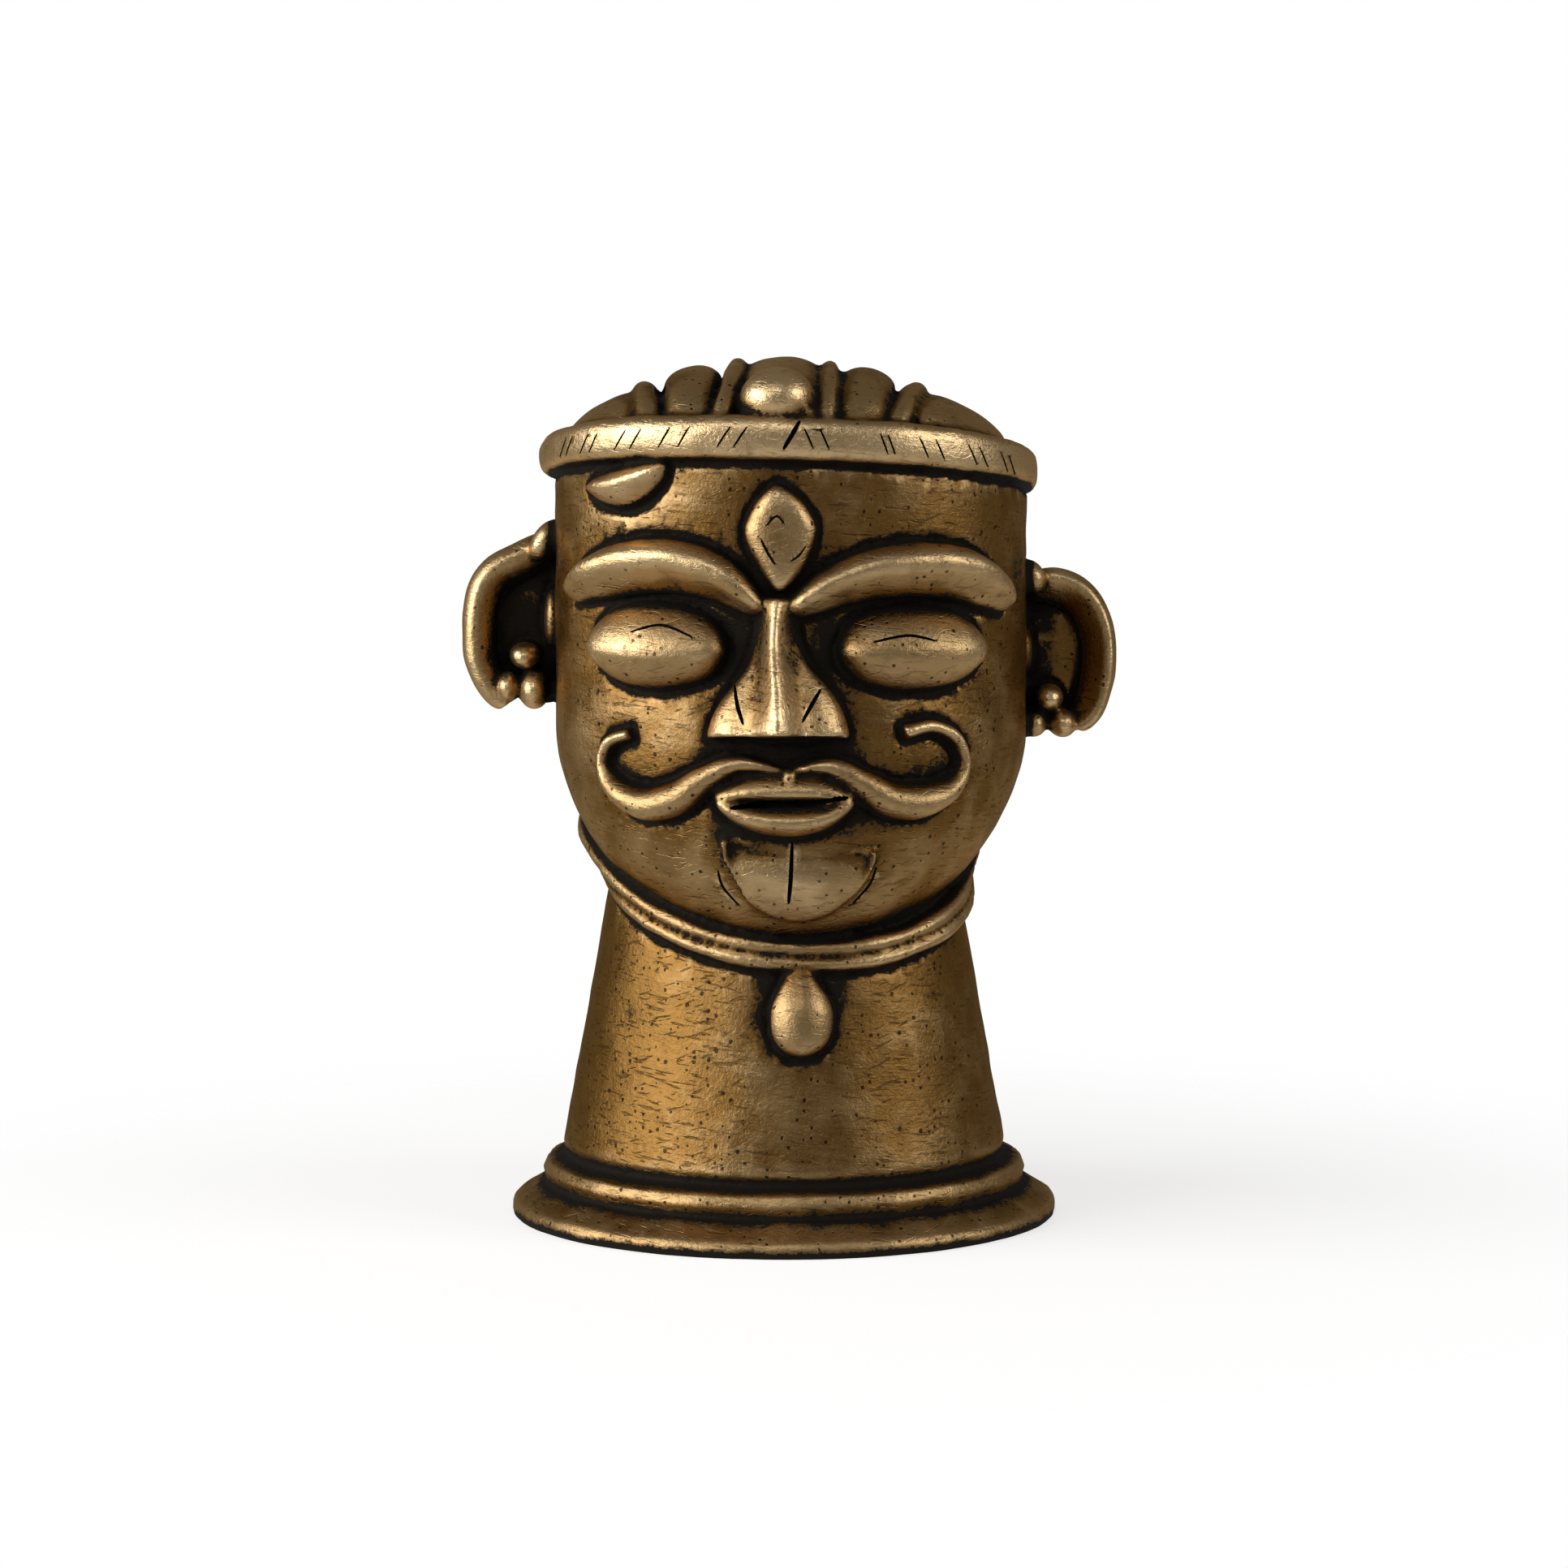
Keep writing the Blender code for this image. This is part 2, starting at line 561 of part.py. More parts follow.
def cavity(form):
    """The hollow, one wall inside the neck and the head."""
    crown = HEIGHT - CROWN_WALL - WALL
    def section(angle, z):
        inside = max(0.0, z)
        side, ahead = math.sin(angle), math.cos(angle)
        grow = smooth((inside - NECK_TOP_Z) / (CHEEK_Z - NECK_TOP_Z))
        close = math.sqrt(max(0.0, 1.0 - max(0.0, (inside - BAND_Z + WALL) / (crown - BAND_Z + WALL)) ** 2))
        depth = HEAD_FRONT if ahead > 0 else HEAD_BACK
        half_width = NECK_TOP_RADIUS + (HEAD_HALF_WIDTH - NECK_TOP_RADIUS) * grow - WALL
        half_depth = NECK_TOP_RADIUS + (depth - NECK_TOP_RADIUS) * grow - WALL * (1.0 + 0.2 * grow)
        if inside <= NECK_TOP_Z:
            half_width = half_depth = neck_radius(inside) - WALL
        return Vector((HEAD_LEAN * grow + half_width * close * side, -half_depth * close * ahead, z))
    lofted(form, section, crown - STEP, -2 * WALL, sides=28, stations=20)


def ground(form):
    """All that lies below the underside of the flange."""
    bmesh.ops.create_cube(form, size=1.0)
    side = 4 * FLANGE_RADIUS
    bmesh.ops.scale(form, vec=(side, side, 4 * WALL), verts=form.verts)
    bmesh.ops.translate(form, vec=(0, 0, -2 * WALL), verts=form.verts)


def mouth_slot(form):
    """The slot between the lips."""
    slot = ((-7.2, 60.7), (-1.0, 61.3), (3.0, 61.4), (8.6, 62.1))
    roll(form, on_face(slot, 1.2), lambda t: 0.35 + 0.45 * arched(t), lambda t, side: 4.0, sink=0.2)


def as_object(name, form):
    """Turn a form from millimetres about the neck's axis into a Blender object in metres."""
    bmesh.ops.translate(form, vec=(AXIS_X, AXIS_Y, 0), verts=form.verts)
    bmesh.ops.scale(form, vec=(MM, MM, MM), verts=form.verts)
    mesh = bpy.data.meshes.new(name)
    form.to_mesh(mesh)
    form.free()
    made = bpy.data.objects.new(name, mesh)
    bpy.context.scene.collection.objects.link(made)
    return made


def cutter(make):
    """A form that is taken away from the casting."""
    form = bmesh.new()
    make(form)
    made = as_object("cutter " + make.__name__, form)
    made.hide_render = True
    made.display_type = "WIRE"
    return made


def brass():
    """Old brass, worn bright on the high places."""
    material = bpy.data.materials.new("worn brass")
    material.use_nodes = True
    shader = material.node_tree.nodes["Principled BSDF"]
    shader.inputs["Base Color"].default_value = (0.52, 0.36, 0.17, 1.0)
    shader.inputs["Metallic"].default_value = 1.0
    shader.inputs["Roughness"].default_value = 0.36
    material.diffuse_color = (0.62, 0.45, 0.22, 1.0)
    return material


def casting():
    """Press all the forms into one body, thin out its faces, and hollow it."""
    wax = bmesh.new()
    for make in (foot_and_neck, head, dome, turban_folds, band, jewel, forehead, brows, eyes, nose,
                 moustache, mouth_and_chin, ears, collar_and_pendant):
        make(wax)
    body = as_object("mukhalinga", wax)
    fuse = body.modifiers.new("press together", "REMESH")
    fuse.mode = "VOXEL"
    fuse.voxel_size = WAX_GRAIN * MM
    ease = body.modifiers.new("ease", "SMOOTH")
    ease.factor = 0.5
    ease.iterations = 3
    thin = body.modifiers.new("thin out", "DECIMATE")
    thin.ratio = SOLID_TRIANGLES_KEPT
    for make in (ground, cavity, mouth_slot):
        cut = body.modifiers.new(make.__name__, "BOOLEAN")
        cut.operation = "DIFFERENCE"
        cut.solver = "EXACT"
        cut.object = cutter(make)
    body.data.materials.append(brass())


for old in list(bpy.data.objects):
    bpy.data.objects.remove(old, do_unlink=True)
casting()
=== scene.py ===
import math

import bmesh
import bpy
import numpy as np
from mathutils import Matrix, Vector, bvhtree, noise


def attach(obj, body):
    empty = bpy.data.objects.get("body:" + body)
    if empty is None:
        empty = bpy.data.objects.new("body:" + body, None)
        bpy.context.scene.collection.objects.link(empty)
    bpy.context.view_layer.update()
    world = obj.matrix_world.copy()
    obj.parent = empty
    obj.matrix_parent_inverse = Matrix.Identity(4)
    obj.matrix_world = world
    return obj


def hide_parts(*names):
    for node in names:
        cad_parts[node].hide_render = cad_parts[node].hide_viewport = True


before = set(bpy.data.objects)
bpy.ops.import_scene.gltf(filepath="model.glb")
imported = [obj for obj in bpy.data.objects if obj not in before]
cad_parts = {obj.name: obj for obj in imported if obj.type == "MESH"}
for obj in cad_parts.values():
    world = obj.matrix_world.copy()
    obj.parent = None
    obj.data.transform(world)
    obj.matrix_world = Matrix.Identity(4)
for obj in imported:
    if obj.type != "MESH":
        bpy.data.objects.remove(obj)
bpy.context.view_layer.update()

# The view. A long lens stands a little above the crown, two thirds of a metre in front of the
# neck's axis, and looks slightly down, so that the rings of the flange open into ellipses.
MM = 0.001
LENS_PER_SENSOR = 2.9985
CAMERA_DISTANCE = 660.0
CAMERA_HEIGHT = 124.0
CAMERA_PITCH = math.radians(5.5)
AXIS = Vector((-0.8, 2.0, 0.0))

camera_data = bpy.data.cameras.new("camera")
camera_data.sensor_width = 36.0
camera_data.lens = LENS_PER_SENSOR * camera_data.sensor_width
camera = bpy.data.objects.new("camera", camera_data)
camera.location = (AXIS + Vector((0.0, -CAMERA_DISTANCE, CAMERA_HEIGHT))) * MM
camera.rotation_euler = (math.pi / 2 - CAMERA_PITCH, 0.0, 0.0)
bpy.context.scene.collection.objects.link(camera)
bpy.context.scene.camera = camera

# The foot and the neck. The caster turned them in one with a soft wax cone: a thin flange, a
# rounded bead above it and a neck that narrows upwards. All the wax is drawn in millimetres
# about the neck's axis, with the face towards -Y, and pressed onto this cone piece by piece.
WALL = 4.0
HEIGHT = 120.3
FLANGE_RADIUS = 38.6
RIM_THICKNESS = 2.0
BEAD_RADIUS = 34.1
BEAD_THICKNESS = 3.2
BEAD_Z = 0.0525 * HEIGHT
NECK_FOOT_RADIUS = 31.2
NECK_FOOT_Z = 0.082 * HEIGHT
NECK_TOP_RADIUS = 24.6
NECK_TOP_Z = 0.392 * HEIGHT
CHEEK_Z = 0.582 * HEIGHT

# The plain body is what lies under the reliefs: foot, neck, head and dome
body = bmesh.new()
reliefs = bmesh.new()


def turn_outward(form):
    """Make the faces of a closed form point outward."""
    if form.calc_volume(signed=True) < 0:
        bmesh.ops.reverse_faces(form, faces=form.faces)


def press_on(form, onto):
    """Press a finished form onto the body or among the reliefs."""
    turn_outward(form)
    piece = bpy.data.meshes.new("form")
    form.to_mesh(piece)
    form.free()
    onto.from_mesh(piece)
    bpy.data.meshes.remove(piece)


def neck_radius(z):
    """The neck is a cone that narrows upwards from its foot."""
    share = (z - NECK_FOOT_Z) / (NECK_TOP_Z - NECK_FOOT_Z)
    return NECK_FOOT_RADIUS + (NECK_TOP_RADIUS - NECK_FOOT_RADIUS) * share


def turned(profile, steps):
    """A body turned about the neck's axis from its profile of radius and height."""
    form = bmesh.new()
    verts = [form.verts.new((radius, 0.0, z)) for radius, z in profile]
    edges = [form.edges.new(pair) for pair in zip(verts, verts[1:])]
    bmesh.ops.spin(form, geom=verts + edges, cent=(0, 0, 0), axis=(0, 0, 1),
                   angle=2 * math.pi, steps=steps, use_merge=True)
    bmesh.ops.remove_doubles(form, verts=form.verts, dist=0.001)
    return form


bead = BEAD_THICKNESS / 2
foot = turned([
    (0.0, -WALL),
    (FLANGE_RADIUS - 0.5, -WALL),
    (FLANGE_RADIUS - 0.3, 0.0),
    (FLANGE_RADIUS, 0.5 * RIM_THICKNESS),
    (FLANGE_RADIUS - 0.4, RIM_THICKNESS),
    (BEAD_RADIUS + 0.6, BEAD_Z - 1.35 * bead),
    (BEAD_RADIUS - 0.8, BEAD_Z - 1.15 * bead),
    (BEAD_RADIUS - 0.3, BEAD_Z - 0.75 * bead),
    (BEAD_RADIUS, BEAD_Z),
    (BEAD_RADIUS - 0.5, BEAD_Z + 0.8 * bead),
    (NECK_FOOT_RADIUS + 0.2, BEAD_Z + 1.15 * bead),
    (NECK_FOOT_RADIUS - 0.5, BEAD_Z + 1.4 * bead),
    (NECK_FOOT_RADIUS, NECK_FOOT_Z + 0.3),
    (neck_radius(0.18 * HEIGHT), 0.18 * HEIGHT),
    (neck_radius(0.28 * HEIGHT), 0.28 * HEIGHT),
    (NECK_TOP_RADIUS, NECK_TOP_Z),
    (NECK_TOP_RADIUS, CHEEK_Z),
    (0.0, CHEEK_Z),
], steps=180)
press_on(foot, body)

# The head. It was modelled hollow on the neck, of the same wax: a full oval, a little flatter in
# front, and drawn in below the cheeks to a round chin that overhangs the neck. Its sockets,
# cheeks, muzzle and chin are soft swellings.
HEAD_HALF_WIDTH = 33.0
HEAD_FRONT = 33.6
HEAD_BACK = 32.0
HEAD_LEAN = 1.0
CHIN_Z = 0.322 * HEIGHT
FACE_SQUARENESS = 2.25
JAW_ROUND = 2.0
CHIN_FULLNESS = 4.0
BAND_HEIGHT = 6.0
BAND_Z = 0.8745 * HEIGHT
BAND_ARCH = 0.038 * HEIGHT
BAND_ROLL = -0.009 * HEIGHT
LEAST_HALF = 0.25

# Cheeks, muzzle, chin and sockets: the middle of each, its reach across and up, and its rise
SOFT_FORMS = (
    (-18.0, 68.0, 9.0, 8.0, 0.5),
    (19.0, 68.0, 9.0, 8.0, 0.5),
    (0.5, 62.0, 11.0, 7.0, 1.2),
    (0.8, 50.0, 8.0, 6.0, 0.9),
    (-14.5, 82.0, 10.0, 6.0, -2.0),
    (15.5, 82.0, 10.0, 6.0, -2.0),
)


def smooth(value):
    """Ease from 0 to 1."""
    value = min(1.0, max(0.0, value))
    return value * value * (3.0 - 2.0 * value)


def swellings(x, z, table):
    """The sum of a table's soft round swellings at one point of the front view."""
    total = 0.0
    for x_middle, z_middle, x_reach, z_reach, amount in table:
        across = (x - x_middle) / x_reach
        up = (z - z_middle) / z_reach
        total += amount * math.exp(-across * across - up * up)
    return total


def jaw_size(z, size, power):
    """A half size of the head at height z, drawn in below the cheeks towards the chin."""
    drop = min(1.0, max(0.0, (CHEEK_Z - z) / (CHEEK_Z - CHIN_Z)))
    return max(LEAST_HALF, size * (1.0 - drop ** power) ** (1.0 / power))


def turban_line(x, y):
    """The height of the turban's lower edge, which is tipped back and a little to one side."""
    return BAND_Z - BAND_ARCH * y / HEAD_FRONT + BAND_ROLL * (x - HEAD_LEAN) / HEAD_HALF_WIDTH


def head_point(angle, z):
    """A point of the plain head; angle 0 is the middle of the face, and 90 degrees its right."""
    half_width = jaw_size(z, HEAD_HALF_WIDTH, JAW_ROUND)
    side, ahead = math.sin(angle), math.cos(angle)
    if ahead < 0.0:
        depth = jaw_size(z, HEAD_BACK, JAW_ROUND)
        return Vector((HEAD_LEAN + half_width * side, -depth * ahead, z))
    share = 2.0 / FACE_SQUARENESS
    x = HEAD_LEAN + half_width * math.copysign(abs(side) ** share, side)
    depth = jaw_size(z, HEAD_FRONT, CHIN_FULLNESS) + swellings(x, z, SOFT_FORMS)
    return Vector((x, -depth * ahead ** share, z))


def head_section(angle, z):
    """The head's outline at height z, whose upper edge is tipped like the turban."""
    point = head_point(angle, z)
    tip = turban_line(point.x, point.y) - BAND_Z
    point.z += smooth((z - CHEEK_Z) / (BAND_Z - CHEEK_Z)) * tip
    return point


def lofted(section, top, bottom, sides, stations):
    """A closed body whose outline at height z is section(angle, z)."""
    form = bmesh.new()
    bmesh.ops.create_uvsphere(form, u_segments=sides, v_segments=stations, radius=1.0)
    for vert in form.verts:
        turn = math.acos(max(-1.0, min(1.0, vert.co.z))) / math.pi
        t = min(1.0, max(0.0, (turn * stations - 1.0) / (stations - 2.0)))
        z = top - (top - bottom) * math.sin(t * math.pi / 2)
        if math.hypot(vert.co.x, vert.co.y) < 1e-4:
            vert.co = (section(math.pi / 2, z) + section(-math.pi / 2, z)) / 2
        else:
            vert.co = section(math.atan2(vert.co.x, -vert.co.y), z)
    return form


head_top = BAND_Z + 0.3 * BAND_HEIGHT
press_on(lofted(head_section, head_top, CHIN_Z + 0.3, sides=160, stations=80), body)

# The turban. Over a low dome of wax, joined to the head, lie nine rolled folds, broad ones and
# thin cords by turns, which run from the forehead over the crown to the nape, as the folds of a
# wound cloth do.
DOME_RISE = 0.100 * HEIGHT
DOME_INSET = 1.0
DOME_SHOULDER = 1.45
DOME_HALF_WIDTH = HEAD_HALF_WIDTH - DOME_INSET
DOME_FRONT = HEAD_FRONT - DOME_INSET
DOME_BACK = HEAD_BACK - DOME_INSET
STEP = 0.25

# Each fold: its x in front and on top, its half breadth in both, and its rise
FOLDS = (
    (-23.8, -24.6, 5.4, 5.8, 1.8),
    (-17.2, -19.2, 1.9, 1.9, 2.3),
    (-12.5, -12.6, 3.0, 4.0, 2.4),
    (-8.6, -6.0, 1.5, 1.6, 2.5),
    (-0.6, 0.2, 5.6, 5.4, 2.5),
    (5.2, 6.2, 1.6, 1.6, 2.5),
    (9.6, 11.6, 3.1, 3.9, 2.4),
    (13.7, 18.2, 1.7, 1.8, 2.3),
    (22.4, 25.0, 6.8, 6.4, 1.7),
)


def dome_point(x, angle):
    """A point of the turban's dome: angle 0 in front, 90 degrees on top, 180 behind."""
    share = math.sqrt(max(0.02, 1.0 - ((x - HEAD_LEAN) / DOME_HALF_WIDTH) ** 2))
    depth = DOME_FRONT if angle < math.pi / 2 else DOME_BACK
    y = -depth * share * math.cos(angle)
    return Vector((x, y, turban_line(x, y) + DOME_RISE * share ** DOME_SHOULDER * math.sin(angle)))


def rounded(side, crest=2.0, fullness=0.5, lean=0.0):
    """The rise across a roll, from 0 at its edges to 1 at its back, which may lean to a side."""
    reach = 1.0 - lean if side > lean else 1.0 + lean
    return max(0.0, 1.0 - (abs(side - lean) / reach) ** crest) ** fullness


def roll(path, width, rise, sink=1.5, stations=72, sides=32):
    """One roll of wax, laid on the surface along path(t), which gives a point and a normal.

    width(t) is half its breadth, and rise(t, side) its height from one edge, side -1, to the
    other, side 1. It is sunk into the surface below.
    """
    places = {}

    def place(t):
        """The point, normal and sideways direction at t, worked out once for each ring."""
        key = round(t, 6)
        if key not in places:
            point, normal = path(t)
            ahead = path(min(1.0, t + 0.01))[0] - path(max(0.0, t - 0.01))[0]
            places[key] = point, normal, ahead.cross(normal).normalized()
        return places[key]

    form = bmesh.new()
    bmesh.ops.create_uvsphere(form, u_segments=sides, v_segments=stations, radius=1.0)
    for vert in form.verts:
        turn = math.acos(max(-1.0, min(1.0, vert.co.z))) / math.pi
        t = min(1.0, max(0.0, (turn * stations - 1.0) / (stations - 2.0)))
        point, normal, across = place(t)
        ring = math.hypot(vert.co.x, vert.co.y)
        if ring < 1e-4:
            vert.co = point + normal * (rise(t, 0.0) - sink) / 2
            continue
        side, up = vert.co.x / ring, vert.co.y / ring
        lift = rise(t, side) if up > 0 else sink * up
        vert.co = point + across * width(t) * side + normal * lift
    return form


dome = bmesh.new()
bmesh.ops.create_uvsphere(dome, u_segments=128, v_segments=64, radius=1.0)
for vert in dome.verts:
    x = HEAD_LEAN + DOME_HALF_WIDTH * vert.co.x
    y = (DOME_FRONT if vert.co.y < 0 else DOME_BACK) * vert.co.y
    share = math.sqrt(max(0.0, 1.0 - vert.co.x ** 2))
    rise = DOME_RISE * vert.co.z * share ** (DOME_SHOULDER - 1.0)
    vert.co = Vector((x, y, turban_line(x, y) + rise))
press_on(dome, body)


def fold_path(front_x, top_x):
    """The way of one fold over the dome."""
    def path(t):
        angle = math.pi * t
        x = front_x + (top_x - front_x) * math.sin(angle)
        point = dome_point(x, angle)
        around = dome_point(x, angle + 0.05) - dome_point(x, angle - 0.05)
        across = dome_point(x + STEP, angle) - dome_point(x - STEP, angle)
        normal = across.cross(around).normalized()
        return point, normal if normal.z >= 0 or abs(normal.y) > abs(normal.z) else -normal
    return path


for front_x, top_x, front_half, top_half, height in FOLDS:
    press_on(roll(fold_path(front_x, top_x),
                  lambda t: front_half + (top_half - front_half) * math.sin(math.pi * t),
                  lambda t, side: height * rounded(side), sink=3.0), reliefs)

# The band and the jewel. A flattened strip of wax is pressed round the turban's edge and arches
# up over the forehead, where a ball of wax with a pinched tail is stuck onto the middle fold.
BAND_PROUD = 2.1
BAND_THINNER = 0.7
NAPE_SHARE = 0.82
JEWEL_CENTRE = Vector((-0.9, 2.4 - DOME_FRONT, 115.2))
JEWEL_SIZE = (5.0, 5.2, 4.1)
TAIL_OFFSET = Vector((4.2, -1.4, -2.4))
TAIL_SIZE = (2.4, 2.4, 1.3)
TAIL_TILT = 0.5


def ball(centre, size, tilt=0.0):
    """A pellet with its half sizes along X, Y and Z, tilted in the front view."""
    form = bmesh.new()
    bmesh.ops.create_icosphere(form, subdivisions=4, radius=1.0)
    bmesh.ops.scale(form, vec=Vector(size), verts=form.verts)
    bmesh.ops.rotate(form, cent=(0, 0, 0), matrix=Matrix.Rotation(tilt, 3, "Y"), verts=form.verts)
    bmesh.ops.translate(form, vec=centre, verts=form.verts)
    return form


def band_path(t):
    """The line of the turban's band, which arches up over the forehead."""
    angle = math.pi * (2.0 * t - 1.0)
    point = head_point(angle, BAND_Z)
    nudge = head_point(angle + 0.03, BAND_Z) - head_point(angle - 0.03, BAND_Z)
    point.z = turban_line(point.x, point.y)
    return point, nudge.cross(Vector((0, 0, 1))).normalized()


def band_half(t):
    """The band is broadest over the forehead."""
    ahead = max(0.0, math.cos(math.pi * (2.0 * t - 1.0)))
    return BAND_HEIGHT / 2 * (NAPE_SHARE + (1.0 - NAPE_SHARE) * ahead)


def band_rise(t, side):
    """A flat strip with round edges, thinner at the viewer's right."""
    right = max(0.0, math.sin(math.pi * (2.0 * t - 1.0)))
    return (BAND_PROUD - BAND_THINNER * right) * rounded(side, 3.0)


press_on(roll(band_path, band_half, band_rise, sink=3.0, stations=240), reliefs)
press_on(ball(JEWEL_CENTRE, JEWEL_SIZE), reliefs)
press_on(ball(JEWEL_CENTRE + TAIL_OFFSET, TAIL_SIZE, TAIL_TILT), reliefs)

# The third eye and the leaf. The god's third eye, a flat lozenge of wax, stands upright on the
# forehead, and a leaf-shaped pellet with a keel is tucked under the band on one side. Both are
# pressed onto the head.
THIRD_EYE = ((-1.0, 103.8), (-0.6, 99.0), (-0.4, 94.0), (-0.6, 89.4))
THIRD_EYE_HALF = 4.9
THIRD_EYE_PROUD = 2.6
WIDEST_AT = 0.42
LEAF = ((-26.5, 102.8), (-21.0, 103.2), (-15.2, 106.2))
LEAF_HALF = 3.1
LEAF_PROUD = 2.7


def through(points, t):
    """A smooth curve through every one of the points, with t from 0 to 1."""
    last = len(points) - 1
    place = min(last - 1e-6, max(0.0, t * last))
    index = int(place)
    share = place - index
    before, start = points[max(0, index - 1)], points[index]
    end, after = points[index + 1], points[min(last, index + 2)]
    return tuple(
        0.5 * (2 * b + (c - a) * share + (2 * a - 5 * b + 4 * c - d) * share ** 2
               + (3 * b - a - 3 * c + d) * share ** 3)
        for a, b, c, d in zip(before, start, end, after)
    )


def along(*values):
    """A size that passes smoothly through even stations along a form."""
    return lambda t: max(0.05, through([(value,) for value in values], t)[0])


def face_point(x, z):
    """The point of the face that is seen from the front at x and z."""
    half_width = jaw_size(z, HEAD_HALF_WIDTH, JAW_ROUND)
    share = min(0.995, abs(x - HEAD_LEAN) / half_width)
    depth = jaw_size(z, HEAD_FRONT, CHIN_FULLNESS) + swellings(x, z, SOFT_FORMS)
    y = -depth * (1.0 - share ** FACE_SQUARENESS) ** (1.0 / FACE_SQUARENESS)
    return Vector((x, y, z))


def normal_of(surface, first, second):
    """The outward normal of a surface(first, second), by small steps."""
    east = surface(first + STEP, second) - surface(first - STEP, second)
    up = surface(first, second + STEP) - surface(first, second - STEP)
    normal = east.cross(up).normalized()
    return normal if normal.dot(surface(first, second) - Vector((0, 0, CHEEK_Z))) > 0 else -normal


def on_face(points):
    """A path over the face through points of the front view."""
    def path(t):
        x, z = through(points, t)
        return face_point(x, z), normal_of(face_point, x, z)
    return path


def arched(t, power=2.0, share=0.5):
    """1 in the middle of a form and 0 at its ends."""
    return max(0.0, 1.0 - abs(2.0 * t - 1.0) ** power) ** share


def third_eye_half(t):
    """The third eye is broadest a little above its middle."""
    side = (t - WIDEST_AT) / (WIDEST_AT if t < WIDEST_AT else 1.0 - WIDEST_AT)
    return THIRD_EYE_HALF * max(0.0, 1.0 - abs(side) ** 1.7)


press_on(roll(on_face(THIRD_EYE), third_eye_half,
              lambda t, side: THIRD_EYE_PROUD * arched(t, 4.0) * rounded(side, 2.6)), reliefs)
press_on(roll(on_face(LEAF), lambda t: LEAF_HALF * arched(t, 2.0, 0.9),
              lambda t, side: LEAF_PROUD * arched(t) * rounded(side, 1.3, 0.85, -0.25)), reliefs)

# The brows and the eyes. Two heavy rolls of wax, each with a rounded belt over a flatter facet,
# meet at the bridge of the nose as brows, and two closed almond eyes with a soft keel are pressed
# into the sockets under them.
BROWS = (
    ((-28.4, 88.2), (-25.4, 90.6), (-20.5, 92.4), (-14.5, 92.7), (-8.5, 91.0), (-3.0, 86.8)),
    ((1.0, 86.8), (8.0, 90.7), (15.2, 92.1), (22.3, 91.7), (27.0, 89.6), (30.0, 86.8)),
)
BROW_LEAN = -0.42
BROW_END_HALF = 0.9
BROW_END_PROUD = 1.3
BROW_SWELL = 2.9
EYES = (
    ((-25.8, 81.9), (-16.6, 81.8), (-7.2, 81.6)),
    ((7.0, 81.6), (16.4, 81.6), (26.6, 81.4)),
)
EYE_HALF = 6.2
EYE_PROUD = 5.4


def brow_rise(t, side):
    """A rounded belt above and a flatter facet below it."""
    belt = 0.92 * rounded(side, 1.8, 0.62, BROW_LEAN)
    facet = 0.2 * smooth((side + 0.1) / 0.6) * (1.0 - side)
    return (BROW_END_PROUD + BROW_SWELL * arched(t, 3.0)) * max(0.0, belt - facet)


def eye_rise(t, side):
    """The eye swells to a keel a little above its middle."""
    return EYE_PROUD * arched(t, 2.4, 0.55) * rounded(side, 1.65, 0.72, 0.1)


for points in BROWS:
    press_on(roll(on_face(points), lambda t: BROW_END_HALF + BROW_SWELL * arched(t, 2.4, 0.8),
                  brow_rise), reliefs)
for points in EYES:
    press_on(roll(on_face(points), lambda t: EYE_HALF * arched(t, 2.2, 0.7), eye_rise), reliefs)

# The nose. It is one wedge of wax, pressed onto the face: a narrow ridge runs down from the brows
# and widens to the tip, and the wings spread at its foot over a deep undercut.
NOSE_PROUD = 9.0
NOSE = ((-0.9, 88.6), (-1.1, 84.0), (-0.9, 79.0), (-0.7, 74.0), (-0.7, 69.9))
nose_half = along(3.2, 2.7, 3.1, 4.6, 7.4, 9.0, 9.6)
ridge_half = along(2.6, 2.3, 2.7, 3.5, 4.6, 5.4)
ridge_rise = along(2.8, 4.2, 5.6, 7.2, 8.6, NOSE_PROUD - 0.2)
wing_rise = along(0.8, 1.2, 2.2, 3.6, 4.8, 5.2)
NOSE_BLEND = 2.6


def nose_rise(t, side):
    """The ridge of the nose, rounded, over the lower slopes of its wings."""
    across = min(1.0, abs(side) * nose_half(t) / ridge_half(t))
    ridge = ridge_rise(t) * rounded(across, 1.35, 1.0)
    wing = wing_rise(t) * rounded(side, 2.6, 0.5)
    return (ridge ** NOSE_BLEND + wing ** NOSE_BLEND) ** (1 / NOSE_BLEND)


press_on(roll(on_face(NOSE), nose_half, nose_rise, stations=96, sides=64), reliefs)

# The moustache, the lips and the chin. Two rolls of wax, thick over the cheeks and thin at their
# tips, curl up; two full lips part round a slot; and the chin is a tongue-shaped plate. Each was
# formed by itself and pressed onto the face.

# Each half of the moustache: its points from the middle to the tip, and its half breadths
MOUSTACHE = (
    (((0.0, 65.4), (-5.9, 66.3), (-10.3, 64.4), (-14.3, 61.6), (-18.6, 60.7), (-22.2, 62.6),
      (-23.9, 65.7), (-23.1, 68.6), (-20.4, 69.9)),
     along(0.4, 1.4, 1.9, 2.4, 2.4, 1.7, 1.1, 0.95, 0.8)),
    (((0.2, 65.3), (5.7, 66.0), (10.0, 63.9), (14.2, 61.6), (18.4, 61.3), (22.0, 62.7),
      (23.8, 65.8), (22.7, 69.4), (19.4, 71.1), (15.9, 70.4)),
     along(0.4, 1.4, 1.9, 2.4, 2.4, 1.7, 1.1, 1.0, 0.9, 1.0)),
)

